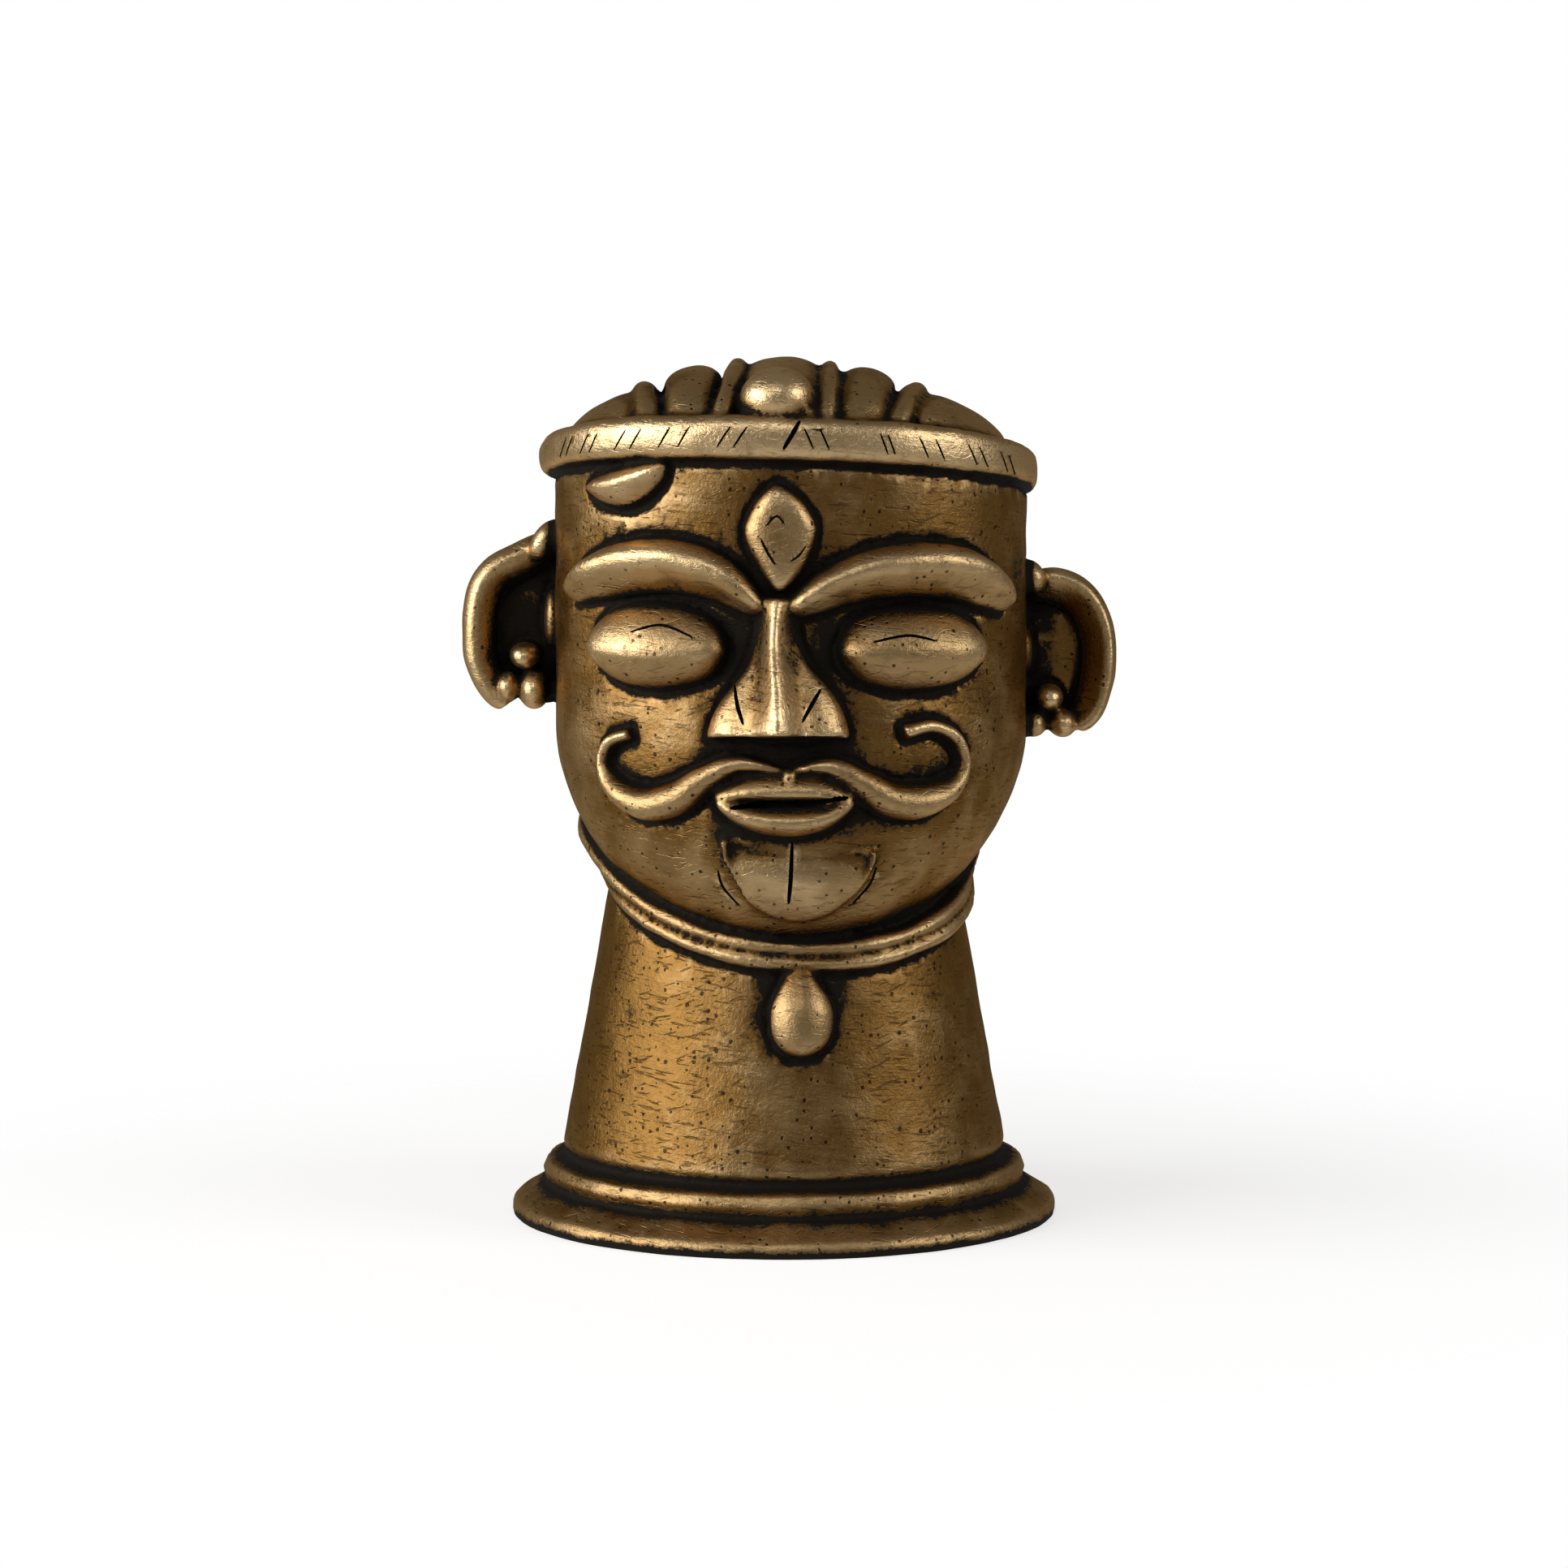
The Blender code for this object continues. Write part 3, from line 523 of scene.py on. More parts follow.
# Each lip: its points, its half breadth, its rise at the corners, what is added to the rise in
# the middle, and its lean
LIPS = (
    (((-8.9, 62.2), (-4.5, 63.1), (0.0, 63.3), (4.5, 63.1), (9.0, 61.9)), 1.35, 1.4, 1.6, 0.4),
    (((-8.7, 61.6), (-4.5, 59.5), (0.4, 58.8), (5.0, 59.4), (9.0, 61.6)), 1.5, 1.5, 2.0, -0.2),
)
DROP_UNDER_NOSE = Vector((0.7, face_point(0.7, 65.0).y - 1.2, 64.9))
DROP_SIZE = (0.9, 1.3, 1.0)
CHIN = ((2.2, 55.2), (1.8, 51.0), (0.9, 45.2))
CHIN_HALF = 10.6
FACE_CURVE = 0.0155

for points, half in MOUSTACHE:
    press_on(roll(on_face(points), half, lambda t, side: (0.9 + 0.95 * half(t)) * rounded(side),
                  stations=140), reliefs)
for points, half, corner, swell, lean in LIPS:
    press_on(roll(
        on_face(points),
        lambda t: 0.5 + half * arched(t, 2.4, 0.8),
        lambda t, side: (corner + swell * arched(t, 3.0)) * rounded(side, 1.8, 0.6, lean),
    ), reliefs)
press_on(ball(DROP_UNDER_NOSE, DROP_SIZE), reliefs)


def chin_half(t):
    """The chin's plate is broad above and round below."""
    return CHIN_HALF * max(0.0, 1.0 - t ** 2.4) ** 0.55


def chin_rise(t, side):
    """The plate stands out below, and bends back with the face at its sides."""
    bend = FACE_CURVE * (chin_half(t) * side) ** 2
    return (1.3 * smooth(1.7 * t) - 0.45) * rounded(side, 6.0) - bend


press_on(roll(on_face(CHIN), chin_half, chin_rise, sink=3.0), body)

# The ears. Each is a thin dish of wax joined to the side of the head, in a rolled rim flared to
# the front, with a strip before its hollow, a knob on top and three balls clustered at the lobe.
LEFT_EAR_REACH = 45.2
RIGHT_EAR_REACH = 46.8
DISH_OUT = 0.76
DISH_SIZE = (10.2, 2.2, 0.3)
DISH_BACK = 3.2
RIM_BACK = 0.5
KNOB_BACK = -2.4
STRIP_BACK = 0.6
PELLET_BACK = -0.4

# Each ear: its side and reach, the outline of its rim from the top to the lobe, the half breadth,
# rise and lean of the rim and the form of its back, its knob with its tilt, its strip, and its
# three balls
EARS = (
    (-1, LEFT_EAR_REACH,
     ((-33.5, 94.6), (-37.4, 92.6), (-41.8, 90.0), (-43.7, 85.5), (-43.9, 79.0), (-42.0, 74.2),
      (-39.6, 71.8)), 2.3, 3.2, 0.2, (1.9, 0.55),
     ((-34.1, 95.0), (1.7, 2.6, 3.1), 0.6), ((-33.2, 84.1), (1.3, 3.6, 4.3)),
     (((-37.2, 78.6), (2.2, 3.6, 1.9)), ((-39.7, 74.3), (1.8, 3.6, 2.3)),
      ((-35.9, 73.9), (2.3, 3.8, 2.8)))),
    (1, RIGHT_EAR_REACH,
     ((34.6, 88.4), (38.4, 88.6), (41.8, 86.8), (44.2, 82.6), (44.6, 77.0), (43.2, 71.5),
      (40.8, 68.9)), 2.4, 3.0, -0.6, (1.4, 0.8),
     ((34.8, 89.9), (1.8, 2.6, 2.5), -0.5), ((34.0, 79.4), (1.1, 3.6, 4.0)),
     (((37.3, 72.7), (2.1, 3.6, 2.0)), ((35.2, 69.2), (2.0, 3.6, 2.0)),
      ((39.3, 69.2), (2.0, 3.6, 2.0)))),
)


def rim_path(rim, stretch):
    """The rim of an ear, which faces the front."""
    def path(t):
        x, z = through(rim, t)
        return Vector((x * stretch, RIM_BACK, z)), Vector((0, -1, 0))
    return path


for side_of, reach, rim, half, height, lean, back_form, knob, strip, balls in EARS:
    stretch = (reach - half) / max(abs(x) for x, z in rim)
    press_on(roll(rim_path(rim, stretch), lambda t: half * arched(t, 8.0),
                  lambda t, side: height * rounded(side, *back_form, lean), sink=3.4), reliefs)
    top, lobe = rim[0][1], rim[-1][1]
    dish = Vector((side_of * DISH_OUT * reach, DISH_BACK, (top + lobe) / 2))
    half_length, half_depth, beyond = DISH_SIZE
    press_on(ball(dish, (half_length, half_depth, (top - lobe) / 2 + beyond)), body)
    pellets = [(*knob, KNOB_BACK), (*strip, 0.0, STRIP_BACK)]
    pellets += [(*pellet, 0.0, PELLET_BACK) for pellet in balls]
    for (x, z), size, tilt, back in pellets:
        press_on(ball(Vector((x * stretch, back, z)), size, tilt), reliefs)

# The collar and its pendant. Two rolled strands of wax lie in the hollow between jaw and neck, low
# in front and high at the nape, and a drop-shaped pendant is pressed onto the neck below them.
THROAT_TURN = 30.0
COLLAR_Z = 49.8
COLLAR_DIP = 10.2
COLLAR_TIP = 1.8
STRAND_DROPS = (-1.0, 1.1)
STRAND_HALF = 1.2
STRAND_PROUD = 1.8
PENDANT_TOP_HALF = 1.6
PENDANT_HALF = 4.4
PENDANT_WIDEST_AT = 0.68
PENDANT_PROUD = 1.2
PENDANT_FULLER = 2.4
PENDANT_X = 2.1
PENDANT_TOP_Z = 40.0
PENDANT_LEAN = 0.3
PENDANT_LENGTH = 14.3


def head_reach(angle, z):
    """How far the head reaches from its axis in one direction at height z."""
    half_width = jaw_size(z, HEAD_HALF_WIDTH, JAW_ROUND)
    side, ahead = abs(math.sin(angle)) / half_width, math.cos(angle)
    if ahead < 0.0:
        return 1.0 / math.hypot(side, ahead / jaw_size(z, HEAD_BACK, JAW_ROUND))
    soft = swellings(half_width * math.sin(angle), z, SOFT_FORMS)
    depth = jaw_size(z, HEAD_FRONT, CHIN_FULLNESS) + soft
    power = FACE_SQUARENESS
    return (side ** power + (ahead / depth) ** power) ** (-1.0 / power)


def throat_point(angle, z):
    """Where the collar lies: on the outer one of neck and head."""
    neck, head = neck_radius(z), head_reach(angle, z)
    outer = max(neck, head)
    blend = (neck / outer) ** THROAT_TURN + (head / outer) ** THROAT_TURN
    radius = outer * blend ** (1 / THROAT_TURN)
    return Vector((HEAD_LEAN / 2 + radius * math.sin(angle), -radius * math.cos(angle), z))


def neck_point(x, z):
    """The point of the neck that is seen from the front at x and z."""
    radius = neck_radius(z)
    return Vector((x, -math.sqrt(max(LEAST_HALF, radius * radius - x * x)), z))


def strand_path(drop):
    """The way of one strand of the collar round the throat."""
    def path(t):
        angle = math.pi * (2.0 * t - 1.0)
        z = COLLAR_Z - drop - COLLAR_DIP * math.cos(angle) - COLLAR_TIP * math.sin(angle)
        nudge = throat_point(angle + 0.05, z) - throat_point(angle - 0.05, z)
        return throat_point(angle, z), nudge.cross(Vector((0, 0, 1))).normalized()
    return path


def pendant_path(t):
    """The pendant hangs a little off the middle."""
    x = PENDANT_X + PENDANT_LEAN * t
    z = PENDANT_TOP_Z - PENDANT_LENGTH * t
    return neck_point(x, z), normal_of(neck_point, x, z)


def pendant_half(t):
    """The pendant swells to a round drop."""
    if t < PENDANT_WIDEST_AT:
        return PENDANT_TOP_HALF + (PENDANT_HALF - PENDANT_TOP_HALF) * smooth((t - 0.05) / 0.55)
    return PENDANT_HALF * arched((t - PENDANT_WIDEST_AT) / (2.0 - 2.0 * PENDANT_WIDEST_AT) + 0.5)


def pendant_rise(t, side):
    """The pendant is flat where it hangs from the strands and full below."""
    full = PENDANT_FULLER * smooth(t / 0.6) * arched(0.5 + t / 2, 6.0)
    return (PENDANT_PROUD + full) * rounded(side, 1.9)


for drop in STRAND_DROPS:
    press_on(roll(strand_path(drop), lambda t: STRAND_HALF,
                  lambda t, side: STRAND_PROUD * rounded(side), sink=2.0, stations=240), reliefs)
press_on(roll(pendant_path, pendant_half, pendant_rise), reliefs)

# The pressed wax is one skin of brass. A point runs round the foot of each relief to set it off,
# and no hand-pressed wax is quite true, so the skin swells and dips by a tenth of a millimetre.
GRAIN = 0.42
CAST_TRIANGLES = 180000
MOAT_REACH = 1.25
MOAT_DEPTH = 0.65

# How the skin swells and dips: the number of waves to the millimetre, and how high they are
UNEVEN = ((0.13, 0.22), (0.35, 0.07))


def as_object(name, form):
    """A form as a Blender object, still in millimetres about the neck's axis."""
    mesh = bpy.data.meshes.new(name)
    form.to_mesh(mesh)
    form.free()
    made = bpy.data.objects.new(name, mesh)
    bpy.context.scene.collection.objects.link(made)
    return made


def settle(piece):
    """Apply a piece's modifiers to its mesh."""
    bpy.context.view_layer.update()
    graph = bpy.context.evaluated_depsgraph_get()
    worked = bpy.data.meshes.new_from_object(piece.evaluated_get(graph))
    piece.modifiers.clear()
    old = piece.data
    piece.data = worked
    bpy.data.meshes.remove(old)


def read(mesh, name):
    """The vertices' places or normals as an array."""
    values = np.empty(len(mesh.vertices) * 3, np.float32)
    mesh.vertices.foreach_get(name, values)
    return values.reshape(-1, 3)


def surface_of(piece):
    """A piece's faces as a tree, in which a ray is followed to the face it hits."""
    return bvhtree.BVHTree.FromPolygons([vert.co for vert in piece.data.vertices],
                                        [face.vertices for face in piece.data.polygons])


body_tree = bvhtree.BVHTree.FromBMesh(body)
relief_tree = bvhtree.BVHTree.FromBMesh(reliefs)
both = bpy.data.meshes.new("both")
reliefs.to_mesh(both)
reliefs.free()
body.from_mesh(both)
bpy.data.meshes.remove(both)

cast = as_object("brass_casting", body)
fuse = cast.modifiers.new("fuse", "REMESH")
fuse.mode = "VOXEL"
fuse.voxel_size = GRAIN
ease = cast.modifiers.new("ease", "SMOOTH")
ease.factor = 0.5
ease.iterations = 2
settle(cast)

places, normals = read(cast.data, "co"), read(cast.data, "normal")
for scale, amount in UNEVEN:
    lift = np.array([noise.noise(Vector(point) * scale) for point in places.tolist()])
    places += (normals * (lift * amount)[:, None]).astype(np.float32)
for index, point in enumerate(places.tolist()):
    point = Vector(point)
    relief = relief_tree.find_nearest(point, 2 * MOAT_REACH)[3]
    if relief is None:
        continue
    reach = MOAT_REACH * (1.0 + 0.5 * noise.noise(point * 0.4))
    near = smooth(1.0 - relief / reach)
    if near > 0.0:
        normal, below = body_tree.find_nearest(point)[1::2]
        places[index] -= np.array(normal) * MOAT_DEPTH * near * (1.0 - smooth(below / 0.8))
cast.data.vertices.foreach_set("co", places.ravel())

thin = cast.modifiers.new("thin", "DECIMATE")
triangles = sum(len(face.vertices) - 2 for face in cast.data.polygons)
thin.ratio = min(1.0, CAST_TRIANGLES / triangles)
settle(cast)

# The hollow. The cover is cast over a clay core, so it is open below and hollow up to the crown,
# with a wall as thick all over as such castings have.
CROWN_WALL = 6.0
FACE_THICKER = 0.8


def hollow_section(angle, z):
    """The outline of the hollow, one wall inside the neck and the head."""
    inside = max(0.0, z)
    side, ahead = math.sin(angle), math.cos(angle)
    grow = smooth((inside - NECK_TOP_Z) / (CHEEK_Z - NECK_TOP_Z))
    top = HEIGHT - CROWN_WALL - WALL
    rise = max(0.0, (inside - BAND_Z + WALL) / (top - BAND_Z + WALL))
    close = math.sqrt(max(0.0, 1.0 - rise ** 2))
    depth = HEAD_FRONT if ahead > 0 else HEAD_BACK
    half_width = NECK_TOP_RADIUS + (HEAD_HALF_WIDTH - NECK_TOP_RADIUS) * grow - WALL
    half_depth = NECK_TOP_RADIUS + (depth - NECK_TOP_RADIUS) * grow - WALL - FACE_THICKER * grow
    if inside <= NECK_TOP_Z:
        half_width = half_depth = neck_radius(inside) - WALL
    return Vector((HEAD_LEAN * grow + half_width * close * side, -half_depth * close * ahead, z))


def cut_away(form):
    """Take a closed form away from the casting."""
    turn_outward(form)
    tool = as_object("tool", form)
    cut = cast.modifiers.new("cut", "BOOLEAN")
    cut.operation = "DIFFERENCE"
    cut.solver = "MANIFOLD"
    cut.object = tool
    settle(cast)
    bpy.data.objects.remove(tool, do_unlink=True)


ground = bmesh.new()
bmesh.ops.create_cube(ground, size=1.0)
bmesh.ops.scale(ground, vec=(200.0, 200.0, 20.0), verts=ground.verts)
bmesh.ops.translate(ground, vec=(0.0, 0.0, -10.0), verts=ground.verts)
cut_away(ground)
hollow_top = HEIGHT - CROWN_WALL - WALL - 0.2
cut_away(lofted(hollow_section, hollow_top, -2 * WALL, sides=96, stations=60))

# The chasing. After casting, chisels cut the slot of the mouth, the cleft of the chin, the lines
# of the lids and the nose's wings, a lozenge in the third eye, and pairs of nicks and a notch
# along the band.
cast_tree = surface_of(cast)


def on_cast(points):
    """A path over the casting through points of the front view."""
    def path(t):
        x, z = through(points, t)
        place, normal = cast_tree.ray_cast(Vector((x, -80.0, z)), Vector((0, 1, 0)))[:2]
        return place, Vector((0, -1, 0)).lerp(normal, 0.4).normalized()
    return path


# Each stroke: its points, its half breadth and its depth below the skin. They are the mouth, the
# cleft, the lids, the nose, the third eye's lozenge and the sides of the chin.
STROKES = [
    (((-7.2, 60.7), (-1.0, 61.3), (3.0, 61.4), (8.6, 62.1)), 0.65, 2.2),
    (((1.1, 55.9), (0.9, 51.0), (0.6, 47.4)), 0.32, 0.9),
    (((-20.6, 83.9), (-16.4, 84.9), (-12.2, 83.4)), 0.22, 0.5),
    (((11.9, 82.8), (16.5, 83.6), (20.4, 82.8)), 0.22, 0.5),
    (((-6.6, 77.0), (-6.2, 74.5), (-5.4, 72.0)), 0.3, 0.6),
    (((4.9, 76.6), (3.6, 74.5), (2.4, 72.4)), 0.3, 0.6),
    (((-3.0, 96.4), (-2.2, 94.8), (-1.2, 93.2)), 0.2, 0.35),
    (((-2.3, 98.4), (-1.0, 99.6), (0.0, 98.6)), 0.16, 0.25),
    (((0.9, 93.6), (2.0, 94.4), (2.9, 95.6)), 0.16, 0.25),
    (((-8.9, 51.8), (-8.2, 49.4), (-6.0, 46.8)), 0.22, 0.35),
    (((12.4, 52.2), (11.6, 49.8), (9.2, 47.0)), 0.22, 0.35),
]

# Each pair of nicks: the x of both, and how far their tips lean to the side
NICKS = ((-30.1, -29.2, 0.5), (-27.0, -25.7, 0.6), (-22.0, -19.9, 0.8), (-16.0, -13.4, 0.8),
         (-8.0, -5.8, 0.9), (3.3, 5.4, -0.6), (13.3, 14.3, -0.5), (18.7, 20.9, -0.6),
         (25.4, 26.9, -0.6), (29.9, 31.0, -0.5))
NICK_HALF = 0.15
NICK_DEPTH = 0.4

# The notch across the band, under the jewel
NOTCH = (((2.1, 112.2), (1.2, 110.6), (-0.1, 108.4)), 0.34, 0.8)

# How far a stroke's tool stands out of the skin, so that it cuts through
CHISEL_BACK = 1.2

for first, second, tip in NICKS:
    for x in (first, second):
        z = turban_line(x, -HEAD_FRONT * math.sqrt(max(0.0, 1.0 - (x / HEAD_HALF_WIDTH) ** 2)))
        nick = ((x + tip, z + 1.5), (x, z + 0.2), (x - tip, z - 1.2))
        STROKES.append((nick, NICK_HALF, NICK_DEPTH))
STROKES.append(NOTCH)
chisel = bmesh.new()
for points, half, depth in STROKES:
    press_on(roll(on_cast(points), lambda t: half * (0.25 + 0.75 * arched(t)),
                  lambda t, side: CHISEL_BACK, sink=depth, stations=24, sides=10), chisel)
cut_away(chisel)

# Wear, patina and painted light. Hands have kept the high places bright; black patina stays in
# every groove and hollow, and the open places are brown. Shade is painted in as black and dark
# brown where it falls, and painted highlights brighten some places. All are worked out for each
# point of the skin.

# Shade is how much of what lies within SHADE_REACH of a point hides the light from it
SHADE_REACH = 7.0
SHADE_RAYS = 26
RAY_START = 0.08
BAND_SHINE = 2.6
BAND_SHINE_RIGHT = 0.7
FOOT_REACH = 2.0
BEAD_GROOVE = 2.2

# Where black has pooled in front, and where black is painted shade: under the nose, below the eyes
# and at the sides of the face. The middle of each pool, its reach across and up, and how much
POOLS_AND_SHADOWS = (
    (-2.4, 33.5, 2.8, 5.5, 0.7),
    (7.4, 35.0, 2.3, 4.5, 0.55),
    (2.0, 28.0, 5.0, 3.5, 0.3),
    (-6.2, 81.0, 2.6, 6.0, 0.45),
    (5.2, 82.5, 2.4, 5.0, 0.45),
    (-8.6, 58.2, 2.4, 3.4, 0.5),
    (10.4, 59.0, 2.2, 3.2, 0.5),
    (0.5, 57.0, 7.0, 1.2, 0.3),
    (-20.5, 64.5, 2.4, 3.4, 0.35),
    (19.8, 65.5, 3.0, 3.6, 0.35),
    (-9.0, 67.5, 4.0, 2.0, 0.25),
    (8.6, 67.5, 4.0, 2.0, 0.25),
    (-38.0, 83.0, 4.0, 9.0, 0.75),
    (-33.0, 84.0, 1.6, 4.5, -0.5),
    (-32.0, 93.0, 2.6, 4.0, 0.5),
    (32.5, 90.0, 2.2, 5.0, 0.5),
    (37.2, 81.5, 1.5, 6.0, 0.6),
    (40.9, 79.5, 2.9, 8.5, -0.85),
    (34.2, 80.0, 1.3, 4.5, -0.4),
    (28.5, 73.0, 4.0, 9.0, 0.22),
    (-28.5, 74.0, 3.0, 9.0, 0.14),
    (-20.0, 26.0, 9.0, 14.0, 0.12),
    (17.0, 73.5, 9.0, 3.0, 0.2),
    (-15.0, 74.5, 9.0, 3.0, 0.16),
    (-18.0, 58.0, 8.0, 4.0, 0.12),
    (18.0, 58.0, 8.0, 4.0, 0.12),
    (-22.0, 99.0, 9.0, 3.0, 0.14),
    (0.5, 68.3, 8.0, 1.5, 0.7),
)

# Painted shade on the reliefs themselves, below the brows' belts and at the eyes' corners
PAINTED_RELIEF_SHADE = (
    (-16.5, 88.8, 9.5, 1.3, 0.5),
    (17.5, 88.0, 9.5, 1.3, 0.5),
    (8.0, 81.5, 2.2, 3.5, 0.45),
    (-8.6, 81.5, 1.8, 3.0, 0.45),
)

# Where the front is brighter or duller than its form alone would tell: partly polish by hands,
# partly painted highlight on the nose, the jewel, the brows' belts and the chin, and painted shade
# on the lower lids, the brows' lower facets and the eyes' corners
POLISH_AND_PAINTED_LIGHT = (
    (-0.8, 78.0, 1.8, 9.0, 0.5),
    (-1.8, 116.5, 3.5, 3.0, 1.0),
    (-18.0, 117.5, 10.0, 5.0, -0.6),
    (14.0, 118.5, 12.0, 5.5, -0.6),
    (-15.0, 92.8, 10.0, 1.8, 0.2),
    (15.0, 92.0, 9.0, 1.6, 0.1),
    (-16.0, 79.0, 8.0, 2.5, -0.3),
    (17.0, 80.5, 9.0, 3.5, -0.3),
    (-16.0, 89.2, 9.0, 1.6, -0.9),
    (17.0, 88.5, 9.0, 1.6, -0.9),
    (-16.0, 62.5, 10.0, 4.0, -0.3),
    (16.0, 63.0, 10.0, 5.0, -0.35),
    (0.5, 61.0, 9.0, 3.0, -0.3),
    (1.0, 50.0, 8.5, 5.0, 0.7),
    (2.3, 32.0, 4.0, 6.0, -0.7),
    (42.3, 79.0, 2.4, 10.0, -1.1),
    (9.0, 82.0, 3.0, 4.0, -0.7),
    (-9.0, 82.0, 2.5, 3.5, -0.5),
    (-0.6, 96.0, 4.0, 7.0, -0.2),
    (-21.0, 100.0, 8.0, 5.0, 0.25),
    (-28.0, 70.0, 4.0, 10.0, 0.2),
    (-22.0, 26.0, 8.0, 16.0, -0.3),
    (0.0, 26.0, 8.0, 16.0, 0.15),
    (0.0, 3.8, 40.0, 1.6, 0.25),
)


def mean_near(mesh, values, rounds):
    """Values averaged with their neighbours' a number of times."""
    ends = np.empty(len(mesh.edges) * 2, np.int32)
    mesh.edges.foreach_get("vertices", ends)
    first, second = ends[0::2], ends[1::2]
    count = len(mesh.vertices)
    degree = np.bincount(first, minlength=count) + np.bincount(second, minlength=count)
    for _ in range(rounds):
        total = np.bincount(first, values[second], count)
        total += np.bincount(second, values[first], count)
        values = (values + total / np.maximum(degree, 1)) / 2
    return values


places, normals = read(cast.data, "co"), read(cast.data, "normal")

# How far each point stands out of its near and of its wider surroundings
swell = []
for rounds in (6, 40):
    eased = [mean_near(cast.data, places[:, axis].astype(float), rounds) for axis in range(3)]
    eased = np.stack(eased, 1)
    swell.append(((places - eased) * normals).sum(axis=1))

cast_tree = surface_of(cast)

# Rays that are spread evenly over all directions
golden = math.pi * (3.0 - math.sqrt(5.0))
rays = []
for index in range(SHADE_RAYS):
    up = 1.0 - (2.0 * index + 1.0) / SHADE_RAYS
    flat = math.sqrt(1.0 - up * up)
    rays.append(Vector((math.cos(golden * index) * flat, math.sin(golden * index) * flat, up)))
ray_table = np.array(rays)

# What is found at each point: shade, the foot of a relief, a proud place, and the tables' values
shade = np.zeros(len(places))
foot_near = np.zeros(len(places))
proud = np.zeros(len(places))
pools_and_shadows = np.zeros(len(places))
painted_relief_shade = np.zeros(len(places))
polish_and_painted_light = np.zeros(len(places))
facing = normals @ ray_table.T
for index, point in enumerate(places.tolist()):
    point = Vector(point)
    on_the_ground = normals[index][2] < -0.95 and point.z < 1.0
    if on_the_ground:
        continue
    start = point + Vector(normals[index]) * RAY_START
    blocked = total = 0.0
    for number in np.flatnonzero(facing[index] > 0.2).tolist():
        weight = facing[index, number]
        total += weight
        distance = cast_tree.ray_cast(start, rays[number], SHADE_REACH)[3]
        if distance is not None:
            blocked += weight * (1.0 - 0.6 * distance / SHADE_REACH)
    shade[index] = blocked / max(total, 0.1)
    if normals[index][1] < 0.0:
        pools_and_shadows[index] = swellings(point.x, point.z, POOLS_AND_SHADOWS)
        painted_relief_shade[index] = swellings(point.x, point.z, PAINTED_RELIEF_SHADE)
        polish_and_painted_light[index] = swellings(point.x, point.z, POLISH_AND_PAINTED_LIGHT)
    over_band = point.z - turban_line(point.x, point.y)
    # The band is brighter: partly polish, partly a painted highlight that is stronger on the left
    band_polish_and_highlight = 1.0 if point.x < 0.0 else BAND_SHINE_RIGHT
    polish_and_painted_light[index] += band_polish_and_highlight * math.exp(-(over_band / BAND_SHINE) ** 2)

    # The rings where black lies: patina over and under the bead, patina and painted shadow under
    # the band, and painted shade at the very foot
    grooves = (
        (over_band + 0.5 * BAND_HEIGHT + 0.3, 0.8, 0.45),
        (point.z - BEAD_Z - BEAD_GROOVE, 0.9, 0.6),
        (point.z - BEAD_Z + BEAD_GROOVE, 0.7, 0.5),
        (point.z, 1.4, 1.3),
    )
    for gap, reach, amount in grooves:
        pools_and_shadows[index] += amount * math.exp(-(gap / reach) ** 2)
    relief = relief_tree.find_nearest(point, 3.0)[3]
    above = body_tree.find_nearest(point, 12.0)[3]
    if relief is not None and above is not None:
        low = 1.0 - smooth((above - 0.5) / 0.9)
        foot_near[index] = max(0.0, 1.0 - relief / FOOT_REACH) * low
        proud[index] = smooth((above - 0.4) / 1.8) * (1.0 - smooth(relief / 0.8))
shade = mean_near(cast.data, shade, 3)


def keep(name, values):
    """Store one value for each point of the skin."""
    layer = cast.data.attributes.new(name, "FLOAT", "POINT")
    layer.data.foreach_set("value", np.clip(values, 0.0, 2.0).astype(np.float32))


# Black patina gathers at the feet of reliefs and in dips, and black is painted where shade falls;
# what stands out is rubbed bright, and painted shade darkens it where it lies in shade
keep("patina_and_shade", 1.5 * shade + 0.55 * foot_near - 2.6 * swell[0] - 0.5 * swell[1]
     + pools_and_shadows * (1.0 - 0.85 * proud) + painted_relief_shade)
keep("bright", 0.25 + 0.5 * proud + 0.9 * swell[1] + 1.6 * swell[0] - 0.9 * shade + polish_and_painted_light)

# The finished casting goes to its place in the frame, in metres
cast.data.transform(Matrix.Diagonal((MM, MM, MM, 1.0)) @ Matrix.Translation(AXIS))
cast.data.shade_smooth()
cast.data.set_sharp_from_angle(angle=math.radians(60))

# The metal's colours. The black and the darkest brown also stand for painted shade, and the worn
# and polished brass also for painted highlight
BROWN = (0.19, 0.094, 0.022)
LIGHT_BROWN = (0.33, 0.180, 0.052)
WORN_AND_LIT_BRASS = (0.56, 0.370, 0.170)
POLISHED_AND_HIGHLIGHT_BRASS = (0.92, 0.66, 0.35)
STAIN_AND_SHADE_BROWN = (0.075, 0.040, 0.014)
SCRATCH_DIRT = (0.035, 0.022, 0.010)
PIT_DIRT = (0.02, 0.013, 0.008)
BLACK_PATINA_AND_SHADE = (0.009, 0.008, 0.007)
EDGE_TINT = (1.0, 0.76, 0.50, 1.0)
DULL_EDGE = 0.15
ROUGHNESS = 0.30
BUMP_STRENGTH = 0.55
BUMP_HEIGHT = 0.00025

brass = bpy.data.materials.new("worn_brass")
brass.use_nodes = True
nodes, links = brass.node_tree.nodes, brass.node_tree.links
shader = nodes["Principled BSDF"]


def node(kind, **settings):
    """A node with its settings."""
    made = nodes.new(kind)
    for name, value in settings.items():
        setattr(made, name, value)
    return made


def stored(name):
    """The value that was kept for each point of the skin."""
    return node("ShaderNodeAttribute", attribute_name=name).outputs["Fac"]


